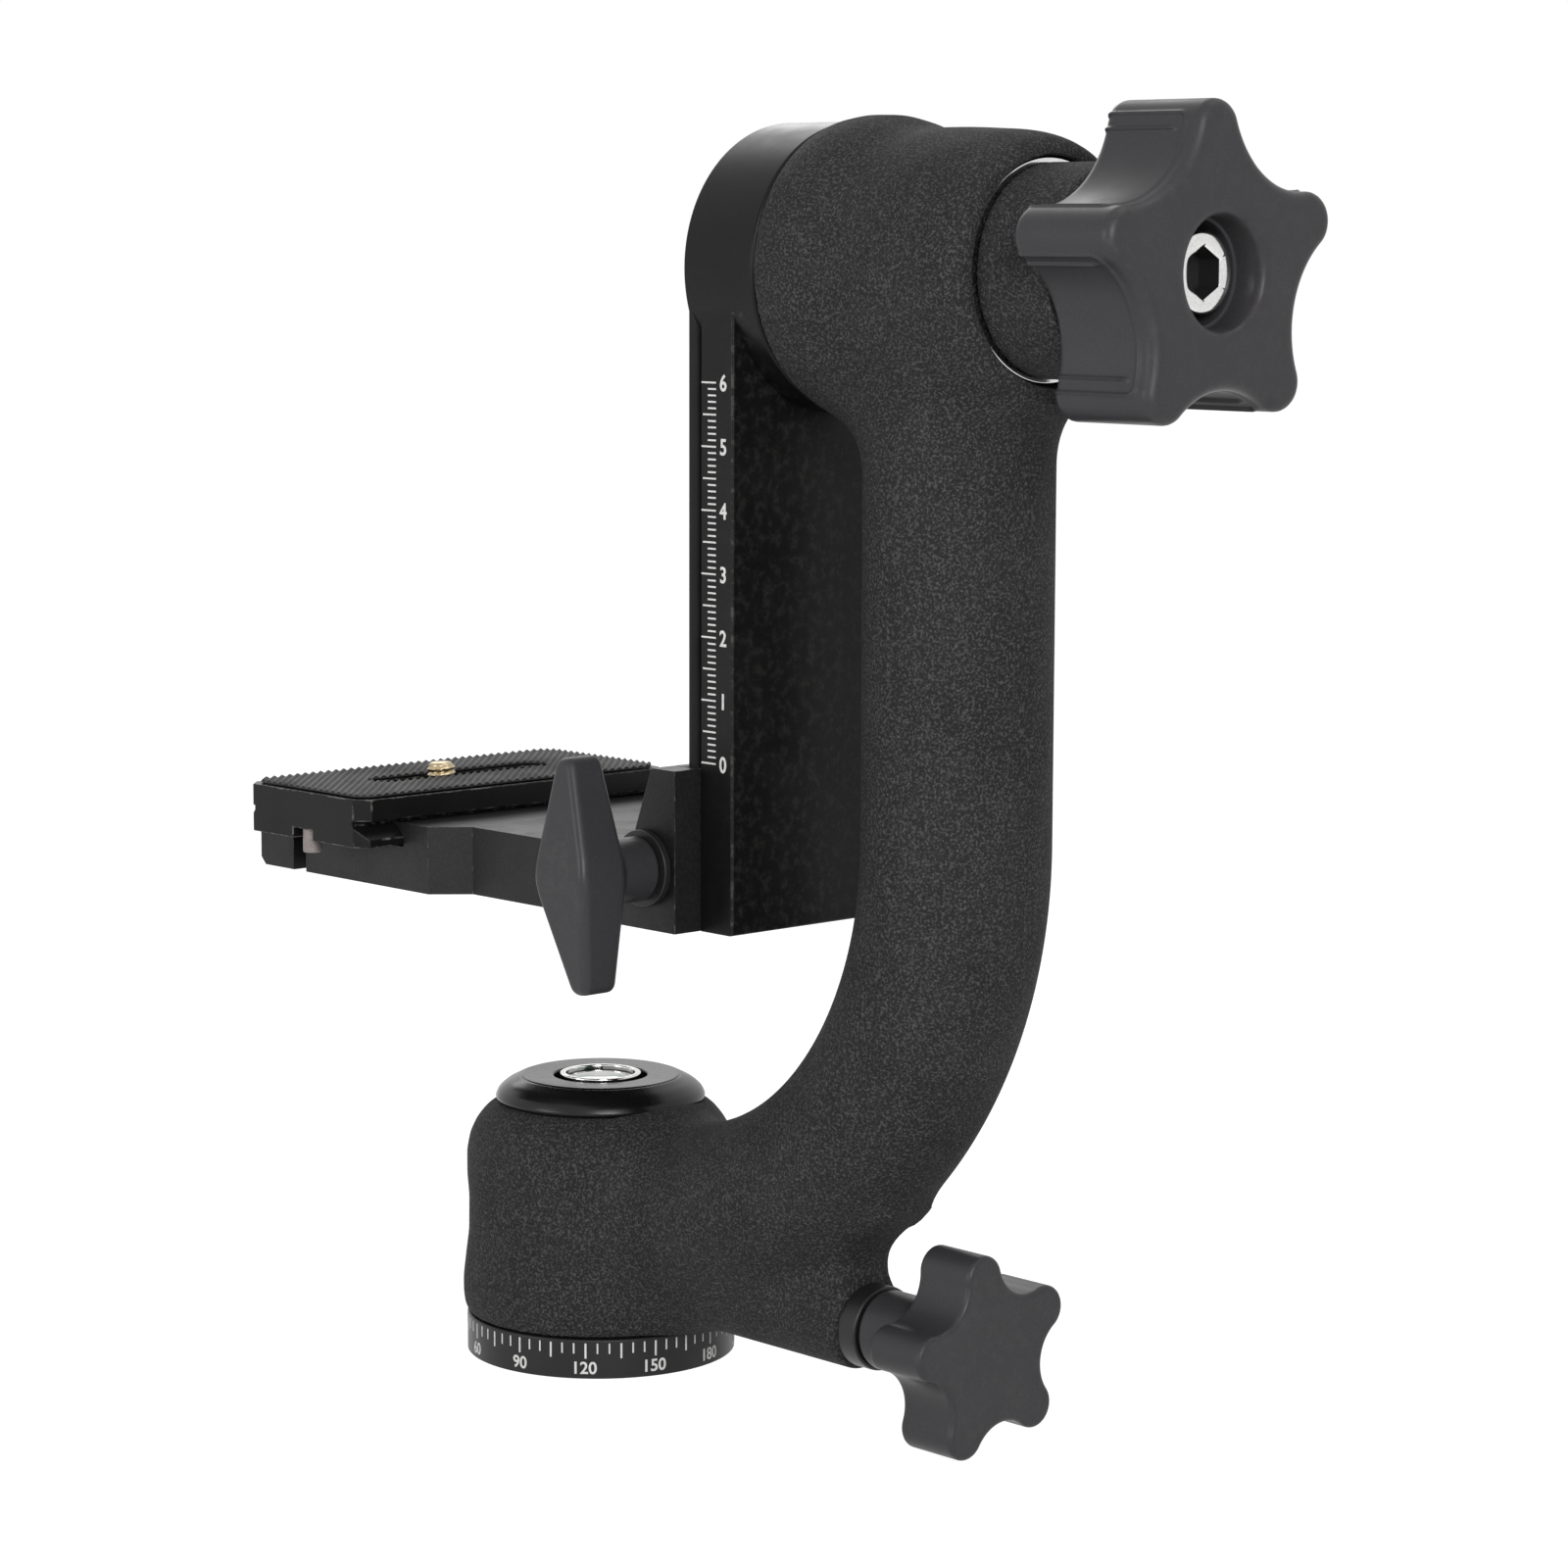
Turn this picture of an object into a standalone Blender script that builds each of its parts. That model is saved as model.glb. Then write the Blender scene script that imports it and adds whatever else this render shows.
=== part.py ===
"""Side-mount gimbal head for long lenses, in metres, +Z up.

The origin is the centre of the underside of the round panning base.  The arm lies in
the plane y = 0 and leans toward +X, the tilt shaft runs along +X at the top, and the
swing arm with its lens platform hangs on the -X side of the arm.  The lens looks along Y.
"""
import math

import bmesh
import bpy
from mathutils import Matrix, Vector

MM = 0.001

# Clearances and small edges shared by many pieces
fit_gap = 0.3 * MM            # between pieces that touch on the real head
overrun = 2.0 * MM            # how far a cut runs past the face it starts from
edge_round = 0.6 * MM         # broken edges of machined pieces
weld_distance = 0.01 * MM     # points closer than this are one point

# Panning base and its tripod thread
base_radius = 28.5 * MM
base_height = 8.3 * MM
base_bevel = 0.9 * MM
insert_radius = 8.0 * MM
insert_flange_radius = 10.5 * MM
insert_flange_height = 2.0 * MM
insert_bore_radius = 4.3 * MM
base_screw_radius = 2.0 * MM
base_screw_head_radius = 3.6 * MM
base_screw_head_height = 2.2 * MM
base_screw_length = 9.4 * MM
base_screw_circle = 14.4 * MM
base_screw_count = 3

# Panning spindle, its two bearings and its nut
spindle_flange_radius = 19.0 * MM
spindle_flange_height = 4.0 * MM
brake_drum_radius = 13.6 * MM
brake_drum_height = 14.4 * MM
spindle_radius = 8.5 * MM
spindle_thread_radius = 7.0 * MM
pan_bearing_radius = 15.0 * MM
pan_bearing_height = 7.0 * MM
pan_bearing_spacing = 3.8 * MM
pan_shoulder_radius = 11.5 * MM
spindle_washer_radius = 11.0 * MM
spindle_washer_height = 1.2 * MM
spindle_nut_radius = 11.5 * MM
spindle_nut_height = 3.6 * MM

# Hub of the main arm, from its open underside to its rounded shoulder
hub_top = 53.6 * MM
hub_foot_radius = 28.6 * MM
hub_bulge_radius = 29.4 * MM
hub_waist_radius = 28.2 * MM
hub_chest_radius = 28.8 * MM
hub_shoulder_radius = 26.2 * MM
hub_crown_radius = 21.6 * MM
hub_skirt_height = 4.6 * MM
hub_shoulder_drop = 4.4 * MM
hub_chest_drop = 10.0 * MM
crown_share = 0.6
crown_drop = 1.3 * MM

# Curved arm
arm_tube_radius = 18.5 * MM
arm_upright_x = 106.0 * MM
arm_bend_top = 119.5 * MM
arm_root_height = 33.5 * MM

# Tilt housing at the top of the arm
tilt_height = 229.5 * MM
housing_left = 78.7 * MM
housing_length = 51.6 * MM
housing_mouth_radius = 28.6 * MM
housing_bulge_radius = 29.4 * MM
housing_body_radius = 26.2 * MM
housing_end_radius = 22.9 * MM
housing_bulge_length = 13.0 * MM
housing_neck_length = 7.0 * MM
housing_end_round = 11.0 * MM

# Panning lock
pan_lock_height = 20.2 * MM
pan_boss_radius = 9.3 * MM
pan_boss_end = 81.7 * MM
pan_boss_root_radius = 11.4 * MM
heel_thickness = 12.0 * MM
heel_edge = 3.6 * MM
heel_hollow_radius = 10.0 * MM
heel_set_back = 0.9 * MM
heel_lift = 3.0 * MM
brake_shoe_radius = 5.4 * MM
brake_shoe_length = 7.6 * MM
lock_stud_radius = 3.0 * MM
lock_pitch = 1.0 * MM
pan_collar_radius = 8.5 * MM
pan_collar_length = 5.2 * MM
pan_knob_radius = 20.8 * MM
pan_knob_lobe_radius = 4.6 * MM
pan_knob_valley_radius = 13.6 * MM
pan_knob_thickness = 14.0 * MM
pan_knob_neck_radius = 8.0 * MM
pan_knob_neck_length = 16.2 * MM
pan_knob_edge = 1.1 * MM
pan_knob_turn = math.radians(9.0)
knob_lobes = 5

# Level cap
cap_radius = 22.3 * MM
cap_height = 5.1 * MM
cap_flat_radius = 16.9 * MM
cap_shoulder_radius = 20.0 * MM
cap_shoulder_drop = 1.6 * MM
cap_rim_drop = 3.4 * MM
cap_spigot_depth = 3.4 * MM
cap_spigot_wall = 1.8 * MM
level_moat = 1.3 * MM
level_bezel_radius = 8.6 * MM
level_bezel_wall = 1.3 * MM
level_depth = 3.4 * MM
level_bezel_rise = 0.4 * MM

# Tilt shaft, its bearings and washers
shaft_flange_radius = 16.0 * MM
shaft_flange_length = 5.8 * MM
shaft_radius = 10.0 * MM
shaft_thread_radius = 6.0 * MM
shaft_pilot_length = 6.0 * MM
shaft_thread_length = 28.6 * MM
tilt_bearing_radius = 18.6 * MM
tilt_bearing_length = 8.6 * MM
tilt_shoulder_radius = 14.0 * MM
friction_washer_radius = 23.0 * MM
friction_washer_thickness = 2.0 * MM
end_ring_radius = 21.0 * MM
end_ring_thickness = 2.2 * MM
end_ring_sink = 1.0 * MM
swing_screw_radius = 2.5 * MM
swing_screw_head_radius = 4.2 * MM
swing_screw_head_height = 3.6 * MM
swing_screw_circle = 12.2 * MM
swing_screw_count = 4
socket_share = 0.5

# Tilt lock
collar_radius = 20.0 * MM
collar_length = 18.2 * MM
tilt_knob_radius = 30.9 * MM
tilt_knob_lobe_radius = 5.4 * MM
tilt_knob_valley_radius = 21.0 * MM
tilt_knob_thickness = 24.4 * MM
tilt_knob_edge = 2.2 * MM
tilt_knob_turn = math.radians(3.2)
tilt_knob_recess_radius = 10.2 * MM
tilt_knob_recess_depth = 13.5 * MM
tilt_lock_pitch = 1.5 * MM
tilt_bush_radius = 9.2 * MM
tilt_bush_length = 8.5 * MM
knob_screw_head_radius = 7.6 * MM
knob_screw_head_height = 6.8 * MM
knob_screw_radius = 3.0 * MM
knob_screw_length = 12.0 * MM
knob_screw_clear = 1.7 * MM

# Swing arm: a flat rail that ends in a round disc on the tilt shaft
rail_left = 58.5 * MM
rail_thickness = 13.0 * MM
rail_half_width = 27.0 * MM
rail_bottom = 100.2 * MM
disc_thickness = 19.8 * MM
disc_radius = 28.2 * MM
groove_start = 1.2 * MM
groove_end = 4.0 * MM
groove_depth = 1.7 * MM
groove_slope = 1.0 * MM

# Lens platform, a bracket that slides on the rail
platform_back = 46.0 * MM
platform_top = 132.4 * MM
gusset_top_x = 55.2 * MM
gusset_knee_x = 49.9 * MM
gusset_knee_height = 118.6 * MM
web_half_width = 31.2 * MM
web_top = 114.3 * MM
jaw_wall = 6.1 * MM
clamp_half_length = 38.2 * MM
clamp_right = -9.9 * MM
clamp_blend = 6.0 * MM
plate_centre_x = -38.6 * MM
clamp_base_left = -52.2 * MM
channel_floor = 109.3 * MM
channel_slack = 0.45 * MM        # on each side of the plate's foot

# Height lock
height_axis_x = 54.0 * MM
height_axis_z = 112.6 * MM
height_stud_reach = 14.0 * MM
height_washer_radius = 7.6 * MM
height_washer_thickness = 1.6 * MM
height_neck_radius = 6.4 * MM
height_neck_length = 9.3 * MM
height_wing_half_height = 23.2 * MM
height_wing_half_width = 8.2 * MM
height_wing_tip_half_width = 2.0 * MM
height_wing_tip_recess = 3.4 * MM
height_wing_thickness = 11.4 * MM
height_wing_edge = 0.9 * MM
height_knob_turn = math.radians(5.5)

# Plate clamp
clamp_jaw_left = -68.4 * MM
clamp_jaw_toe = -56.6 * MM
clamp_travel = 3.0 * MM
clamp_jaw_round = 1.6 * MM
clamp_screw_height = 104.6 * MM
clamp_screw_radius = 2.6 * MM
clamp_screw_reach = 22.0 * MM
clamp_pin_radius = 2.0 * MM
clamp_pin_spacing = 46.0 * MM
clamp_pin_reach = 12.0 * MM
clamp_knob_radius = 9.5 * MM
clamp_knob_length = 13.0 * MM
clamp_knob_neck_radius = 5.4 * MM
clamp_knob_neck_length = 3.2 * MM
clamp_knob_flutes = 12
clamp_knob_lobe_radius = 1.5 * MM
clamp_knob_valley_radius = 8.7 * MM

# Quick release plate
plate_half_width = 20.3 * MM
plate_length = 84.0 * MM
plate_overhang = 10.8 * MM
plate_top = 119.8 * MM
plate_flange_bottom = 115.2 * MM
plate_notch_half_width = 17.0 * MM
plate_foot_half_width = 20.0 * MM
plate_foot_top = 111.3 * MM
plate_bottom = 109.7 * MM
plate_corner = 2.8 * MM
pad_thickness = 0.7 * MM
pad_margin = 1.3 * MM
slot_length = 46.0 * MM
slot_half_width = 3.5 * MM
slot_head_half_width = 7.2 * MM
slot_ceiling = 113.4 * MM
camera_screw_y = -12.0 * MM
camera_screw_radius = 3.1 * MM
camera_screw_head_radius = 6.4 * MM
camera_screw_head_height = 2.2 * MM
camera_screw_rise = 2.2 * MM
camera_washer_radius = 5.6 * MM
camera_washer_thickness = 0.8 * MM
stop_pin_inset = 2.6 * MM
stop_pin_radius = 2.0 * MM
stop_pin_drop = 2.9 * MM
stop_pin_rise = 3.2 * MM
stop_notch_height = 2.2 * MM
stop_notch_half_width = 3.4 * MM

# How finely round shapes are faceted
fine_steps = 40
round_steps = 24
small_steps = 14
arm_tube_steps = 8
arm_bend_steps = 14
lobe_arc_points = 7
slot_arc_points = 9

# Places that follow from the sizes above
base_top = base_height
hub_bottom = base_top + fit_gap
arm_bend_radius = arm_bend_top - arm_root_height
flange_bottom = base_top + fit_gap
drum_bottom = flange_bottom + spindle_flange_height
drum_top = drum_bottom + brake_drum_height
lower_bearing_bottom = drum_top + fit_gap
lower_bearing_top = lower_bearing_bottom + pan_bearing_height
upper_bearing_bottom = lower_bearing_top + pan_bearing_spacing
upper_bearing_top = upper_bearing_bottom + pan_bearing_height
spindle_washer_bottom = upper_bearing_top + fit_gap
spindle_nut_bottom = spindle_washer_bottom + spindle_washer_height + fit_gap
spindle_top = spindle_nut_bottom + spindle_nut_height
bearing_bore_radius = pan_bearing_radius + fit_gap
cap_bottom = hub_top + fit_gap
cap_top = cap_bottom + cap_height
level_floor = cap_top - level_depth
housing_right = housing_left + housing_length
disc_right = rail_left + disc_thickness
rail_right = rail_left + rail_thickness
shaft_flange_right = disc_right
shaft_flange_left = shaft_flange_right - shaft_flange_length
end_ring_left = housing_right - end_ring_sink - end_ring_thickness
end_ring_right = end_ring_left + end_ring_thickness
collar_left = end_ring_right + fit_gap
collar_right = collar_left + collar_length
tilt_knob_back = collar_right + fit_gap
tilt_knob_front = tilt_knob_back + tilt_knob_thickness
tilt_recess_floor = tilt_knob_front - tilt_knob_recess_depth
shaft_thread_end = collar_left + shaft_thread_length
brake_shoe_left = brake_drum_radius + fit_gap
brake_shoe_right = brake_shoe_left + brake_shoe_length
pan_collar_left = pan_boss_end + fit_gap
pan_neck_left = pan_collar_left + pan_collar_length + fit_gap
pan_knob_back = pan_neck_left + pan_knob_neck_length
slider_front = rail_left - fit_gap
slider_half_width = rail_half_width + fit_gap
jaw_inner_half_width = slider_half_width + fit_gap
plate_slope_top = plate_foot_top + plate_foot_half_width - plate_notch_half_width
jaw_outer_half_width = jaw_inner_half_width + jaw_wall
jaw_hook_reach = rail_left + groove_end - fit_gap
pad_bottom = plate_top + fit_gap
plate_front = -clamp_half_length - plate_overhang
plate_middle_y = plate_front + plate_length / 2

# Directions of the joint axes
UP = Vector((0, 0, 1))
RIGHT = Vector((1, 0, 0))
LEFT = Vector((-1, 0, 0))
FRONT = Vector((0, -1, 0))

TILT_AXIS = Vector((0, 0, tilt_height))
PAN_LOCK_AXIS = Vector((0, 0, pan_lock_height))
HEIGHT_AXIS = Vector((height_axis_x, 0, height_axis_z))
CLAMP_AXIS = Vector((0, 0, clamp_screw_height))
CAMERA_AXIS = Vector((plate_centre_x, camera_screw_y, 0))


def remove_everything():
    for item in list(bpy.data.objects):
        bpy.data.objects.remove(item)


def new_collection(name):
    collection = bpy.data.collections.new(name)
    bpy.context.scene.collection.children.link(collection)
    return collection


def finish(name, colour, roughness, metallic):
    material = bpy.data.materials.new(name)
    material.use_nodes = True
    surface = material.node_tree.nodes["Principled BSDF"]
    surface.inputs["Base Color"].default_value = (*colour, 1)
    surface.inputs["Roughness"].default_value = roughness
    surface.inputs["Metallic"].default_value = metallic
    material.diffuse_color = (*colour, 1)
    return material


def frame_along(direction, origin=Vector((0, 0, 0))):
    """Places local Z on a direction through origin, with local X as level as it can be."""
    side = UP if abs(direction.dot(UP)) < 0.5 else RIGHT
    across = (side - direction * side.dot(direction)).normalized()
    third = direction.cross(across)
    turn = Matrix((across, third, direction)).transposed().to_4x4()
    return Matrix.Translation(origin) @ turn


def place(item, frame, collection, material=None):
    for old in list(item.users_collection):
        old.objects.unlink(item)
    collection.objects.link(item)
    item.matrix_world = frame
    if material:
        item.data.materials.append(material)
    return item


def smooth(item, angle=math.radians(40)):
    item.data.shade_smooth()
    item.data.set_sharp_from_angle(angle=angle)


def profile_object(name, points, closed):
    """An edge chain in the local XZ plane, with radius along X and height along Z."""
    mesh = bpy.data.meshes.new(name)
    count = len(points)
    edges = [(i, i + 1) for i in range(count - 1)]
    if closed:
        edges.append((count - 1, 0))
    mesh.from_pydata([(radius, 0, height) for radius, height in points], edges, [])
    return bpy.data.objects.new(name, mesh)


def turned(name, points, frame, collection, material=None, closed=False, steps=round_steps):
    """A turned piece: its profile runs down the outer side and is swept round local Z."""
    item = profile_object(name, points, closed)
    screw = item.modifiers.new("turn", "SCREW")
    screw.steps = steps
    screw.render_steps = steps
    screw.use_merge_vertices = True
    screw.merge_threshold = weld_distance
    return place(item, frame, collection, material)


def solid_profile(radius, one_end, other_end, edge=0.0):
    """Profile of a plain cylinder between two heights, with its two rims broken by edge."""
    bottom, top = sorted((one_end, other_end))
    if edge == 0:
        return [(0, top), (radius, top), (radius, bottom), (0, bottom)]
    return [(0, top), (radius - edge, top), (radius, top - edge),
            (radius, bottom + edge), (radius - edge, bottom), (0, bottom)]


def ring_profile(bore, radius, one_end, other_end, edge=0.0):
    """Closed profile of a ring between two heights, with its outer rims broken by edge."""
    bottom, top = sorted((one_end, other_end))
    if edge == 0:
        return [(bore, top), (radius, top), (radius, bottom), (bore, bottom)]
    return [(bore, top), (radius - edge, top), (radius, top - edge),
            (radius, bottom + edge), (radius - edge, bottom), (bore, bottom)]


def block(name, low, high, collection, material=None):
    """A box between two corners, made from the cube primitive."""
    bpy.ops.mesh.primitive_cube_add(size=1)
    item = bpy.context.active_object
    item.name = name
    item.data.name = name
    low, high = Vector(low), Vector(high)
    size = high - low
    item.data.transform(Matrix.Diagonal((*size, 1)))
    return place(item, Matrix.Translation((low + high) / 2), collection, material)


def extruded(name, outline, thickness, frame, collection, material=None):
    """A flat outline in local XY, given thickness centred on its plane, as a closed mesh."""
    curve = bpy.data.curves.new(name, "CURVE")
    curve.dimensions = "2D"
    curve.fill_mode = "BOTH"
    curve.extrude = thickness / 2
    spline = curve.splines.new("POLY")
    spline.points.add(len(outline) - 1)
    for point, (x, y) in zip(spline.points, outline):
        point.co = (x, y, 0, 1)
    spline.use_cyclic_u = True
    flat = bpy.data.objects.new(name + "_outline", curve)
    bpy.context.scene.collection.objects.link(flat)
    bpy.context.view_layer.update()
    mesh = bpy.data.meshes.new_from_object(flat.evaluated_get(bpy.context.evaluated_depsgraph_get()))
    bpy.data.objects.remove(flat)
    mesh.name = name
    work = bmesh.new()
    work.from_mesh(mesh)
    bmesh.ops.remove_doubles(work, verts=work.verts, dist=weld_distance)
    bmesh.ops.dissolve_limit(work, angle_limit=math.radians(0.5), verts=work.verts, edges=work.edges)
    work.to_mesh(mesh)
    work.free()
    return place(bpy.data.objects.new(name, mesh), frame, collection, material)


def bevel(item, width, segments=1, angle=math.radians(40)):
    modifier = item.modifiers.new("edges", "BEVEL")
    modifier.width = width
    modifier.segments = segments
    modifier.limit_method = "ANGLE"
    modifier.angle_limit = angle
    return item


def combine(item, other, operation):
    """Adds a Boolean with another object, which becomes a hidden wire guide."""
    modifier = item.modifiers.new(other.name, "BOOLEAN")
    modifier.operation = operation
    modifier.solver = "EXACT"
    modifier.object = other
    other.hide_render = True
    other.display_type = "WIRE"
    return item


def cut(item, *tools):
    for tool in tools:
        combine(item, tool, "DIFFERENCE")
    return item


def join(item, *others):
    for other in others:
        combine(item, other, "UNION")
    return item


def bore(name, radius, start, end, axis_frame, steps=round_steps):
    """A cylindrical cutter along the local Z of a frame."""
    return turned(name, solid_profile(radius, start, end), axis_frame, cutters, steps=steps)


def ring_of(count, radius, phase=0.0):
    for i in range(count):
        angle = phase + 2 * math.pi * i / count
        yield i + 1, Vector((radius * math.cos(angle), radius * math.sin(angle), 0))


def star_outline(tip, lobe, valley, lobes, turn, arc_points=lobe_arc_points):
    """Lobes are arcs of radius lobe out to tip, joined by tangent hollow arcs that reach in to valley."""
    reach = tip - lobe
    half = math.pi / lobes
    lift = lobe - valley
    hollow = (reach ** 2 - lift ** 2) / (2 * (lift + reach * math.cos(half)))
    hollow_radius = hollow - valley
    across = Vector((hollow * math.cos(half) - reach, hollow * math.sin(half)))
    lobe_spread = math.atan2(across.y, across.x)
    hollow_spread = lobe_spread - half
    outline = []
    for k in range(lobes):
        heading = turn + 2 * half * k
        centre = polar(reach, heading)
        for i in range(arc_points):
            share = 2 * i / (arc_points - 1) - 1
            outline.append(centre + polar(lobe, heading + lobe_spread * share))
        centre = polar(hollow, heading + half)
        for i in range(1, arc_points - 1):
            share = 2 * i / (arc_points - 1) - 1
            outline.append(centre - polar(hollow_radius, heading + half - hollow_spread * share))
    return [tuple(point) for point in outline]


def polar(radius, angle):
    return Vector((radius * math.cos(angle), radius * math.sin(angle)))


def capsule_outline(half_length, half_width, centre=(0, 0), arc_points=slot_arc_points):
    """A slot: two straight sides joined by half circles, with its length along local Y."""
    outline = []
    for sign in (1, -1):
        for i in range(arc_points):
            angle = math.pi * i / (arc_points - 1) + (0 if sign > 0 else math.pi)
            x, y = polar(half_width, angle)
            outline.append((centre[0] + x, centre[1] + y + sign * (half_length - half_width)))
    return outline


def hexagon_outline(radius):
    return [tuple(polar(radius, math.pi * i / 3)) for i in range(6)]


remove_everything()
parts = new_collection("gimbal_head")
cutters = new_collection("cutters")
guides = new_collection("joint_axes")

sand_coat = finish("sand_coat", (0.030, 0.031, 0.033), 0.72, 0.0)
black_anodised = finish("black_anodised", (0.012, 0.012, 0.013), 0.34, 0.25)
black_casting = finish("black_casting", (0.018, 0.018, 0.020), 0.50, 0.0)
knob_plastic = finish("knob_plastic", (0.045, 0.046, 0.050), 0.48, 0.0)
gloss_black = finish("gloss_black", (0.010, 0.010, 0.011), 0.16, 0.0)
steel = finish("steel", (0.50, 0.50, 0.50), 0.30, 1.0)
chrome = finish("chrome", (0.75, 0.75, 0.76), 0.12, 1.0)
brass = finish("brass", (0.72, 0.52, 0.22), 0.25, 1.0)
nylon = finish("nylon", (0.70, 0.68, 0.62), 0.55, 0.0)
rubber = finish("rubber", (0.030, 0.028, 0.027), 0.85, 0.0)
green_fluid = finish("green_fluid", (0.10, 0.45, 0.22), 0.08, 0.0)


def axis_guide(name, direction, origin):
    """An empty on a joint's axis, with its local Z along it, that carries what turns there."""
    guide = bpy.data.objects.new(name, None)
    guide.empty_display_size = base_radius
    guides.objects.link(guide)
    guide.matrix_world = frame_along(direction, origin)
    return guide


def carry(guide, *names):
    """Parents finished pieces, or other guides, to an axis guide and leaves them where they are."""
    bpy.context.view_layer.update()
    for name in names:
        item = bpy.data.objects[name]
        where = item.matrix_world.copy()
        item.parent = guide
        item.matrix_parent_inverse = guide.matrix_world.inverted()
        item.matrix_world = where


pan_frame = frame_along(UP)
tilt_frame = frame_along(RIGHT, TILT_AXIS)
pan_lock_frame = frame_along(RIGHT, PAN_LOCK_AXIS)
height_frame = frame_along(FRONT, HEIGHT_AXIS)
clamp_frame = frame_along(LEFT, CLAMP_AXIS)
camera_frame = frame_along(UP, CAMERA_AXIS)


def screw_piece(name, radius, head_radius, head_height, length, frame, material):
    """A socket head screw: its head stands on local Z = 0 and its shank runs to -length."""
    profile = [(0, head_height), (head_radius - edge_round, head_height),
               (head_radius, head_height - edge_round), (head_radius, 0),
               (radius, 0), (radius, -length), (0, -length)]
    item = turned(name, profile, frame, parts, material, steps=small_steps)
    socket = extruded(name + "_socket", hexagon_outline(head_radius * socket_share), head_height,
                      frame @ Matrix.Translation((0, 0, head_height)), cutters)
    return cut(item, socket)


def build_base():
    floor_ring = [(0, base_height), (base_radius - base_bevel, base_height),
                  (base_radius, base_height - base_bevel), (base_radius, base_bevel),
                  (base_radius - base_bevel, 0), (0, 0)]
    base = turned("pan_base", floor_ring, pan_frame, parts, black_anodised, steps=fine_steps)
    top = base_height
    step = base_height - insert_flange_height
    hole = insert_radius + fit_gap
    seat = insert_flange_radius + fit_gap
    cut(base, turned("insert_hole", [
        (0, top + overrun), (seat, top + overrun), (seat, step - fit_gap), (hole, step - fit_gap),
        (hole, -overrun), (0, -overrun)], pan_frame, cutters))
    insert_profile = [(insert_bore_radius, top), (insert_flange_radius, top), (insert_flange_radius, step),
                      (insert_radius, step), (insert_radius, 0), (insert_bore_radius, 0)]
    turned("tripod_thread_insert", insert_profile, pan_frame, parts, brass, closed=True)

    spindle_profile = [
        (0, spindle_top), (spindle_thread_radius, spindle_top),
        (spindle_thread_radius, upper_bearing_top), (spindle_radius, upper_bearing_top),
        (spindle_radius, drum_top), (brake_drum_radius, drum_top),
        (brake_drum_radius, drum_bottom), (spindle_flange_radius, drum_bottom),
        (spindle_flange_radius, flange_bottom), (0, flange_bottom)]
    spindle = turned("pan_spindle", spindle_profile, pan_frame, parts, steel)
    for number, spot in ring_of(base_screw_count, base_screw_circle, math.pi / base_screw_count):
        down = Matrix.Translation(spot) @ frame_along(-UP)
        head_seat = -base_screw_head_height - edge_round
        place_down = down @ Matrix.Translation((0, 0, head_seat))
        screw_piece("base_screw_%d" % number, base_screw_radius, base_screw_head_radius,
                    base_screw_head_height, base_screw_length, place_down, steel)
        sink = base_screw_head_radius + fit_gap
        through = base_screw_radius + fit_gap
        end = head_seat - base_screw_length - fit_gap
        hole = turned("base_screw_hole_%d" % number, [
            (0, overrun), (sink, overrun), (sink, head_seat - fit_gap), (through, head_seat - fit_gap),
            (through, end), (0, end)], down, cutters, steps=small_steps)
        cut(base, hole)
        cut(spindle, hole)

    turned("spindle_washer",
           ring_profile(spindle_thread_radius + fit_gap, spindle_washer_radius, spindle_washer_bottom,
                        spindle_washer_bottom + spindle_washer_height),
           pan_frame, parts, steel, closed=True)
    nut = extruded("spindle_nut", hexagon_outline(spindle_nut_radius), spindle_nut_height,
                   pan_frame @ Matrix.Translation((0, 0, spindle_nut_bottom + spindle_nut_height / 2)),
                   parts, steel)
    cut(nut, bore("spindle_nut_bore", spindle_thread_radius + fit_gap, spindle_top + overrun,
                  spindle_nut_bottom - overrun, pan_frame))


def bearing(name, bore_radius, outer_radius, low, high, frame):
    """A ball bearing: inner and outer race with a shallow shield sunk between them on both faces."""
    wall = (outer_radius - bore_radius) / 4
    sink = (high - low) / 12
    profile = [
        (bore_radius, high), (bore_radius + wall, high), (bore_radius + wall, high - sink),
        (outer_radius - wall, high - sink), (outer_radius - wall, high), (outer_radius, high),
        (outer_radius, low), (outer_radius - wall, low), (outer_radius - wall, low + sink),
        (bore_radius + wall, low + sink), (bore_radius + wall, low), (bore_radius, low)]
    return turned(name, profile, frame, parts, steel, closed=True)


def arm_path():
    """The arm's centre line: level out of the hub, a quarter circle, then upright to the housing."""
    centre_x = arm_upright_x - arm_bend_radius
    root = Vector((0, 0, arm_root_height))
    route = [root]
    for i in range(arm_bend_steps + 1):
        angle = math.pi / 2 * i / arm_bend_steps
        route.append(Vector((centre_x + arm_bend_radius * math.sin(angle), 0,
                             arm_bend_top - arm_bend_radius * math.cos(angle))))
    route.append(Vector((arm_upright_x, 0, tilt_height)))
    return route


def build_arm_tube():
    curve = bpy.data.curves.new("arm_tube", "CURVE")
    curve.dimensions = "3D"
    curve.bevel_depth = arm_tube_radius
    curve.bevel_resolution = arm_tube_steps
    curve.use_fill_caps = True
    route = arm_path()
    spline = curve.splines.new("POLY")
    spline.points.add(len(route) - 1)
    for point, spot in zip(spline.points, route):
        point.co = (*spot, 1)
    line = bpy.data.objects.new("arm_line", curve)
    bpy.context.scene.collection.objects.link(line)
    bpy.context.view_layer.update()
    mesh = bpy.data.meshes.new_from_object(line.evaluated_get(bpy.context.evaluated_depsgraph_get()))
    bpy.data.objects.remove(line)
    work = bmesh.new()
    work.from_mesh(mesh)
    bmesh.ops.remove_doubles(work, verts=work.verts, dist=weld_distance)
    work.to_mesh(mesh)
    work.free()
    return place(bpy.data.objects.new("arm_tube", mesh), Matrix.Identity(4), cutters)


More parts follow.
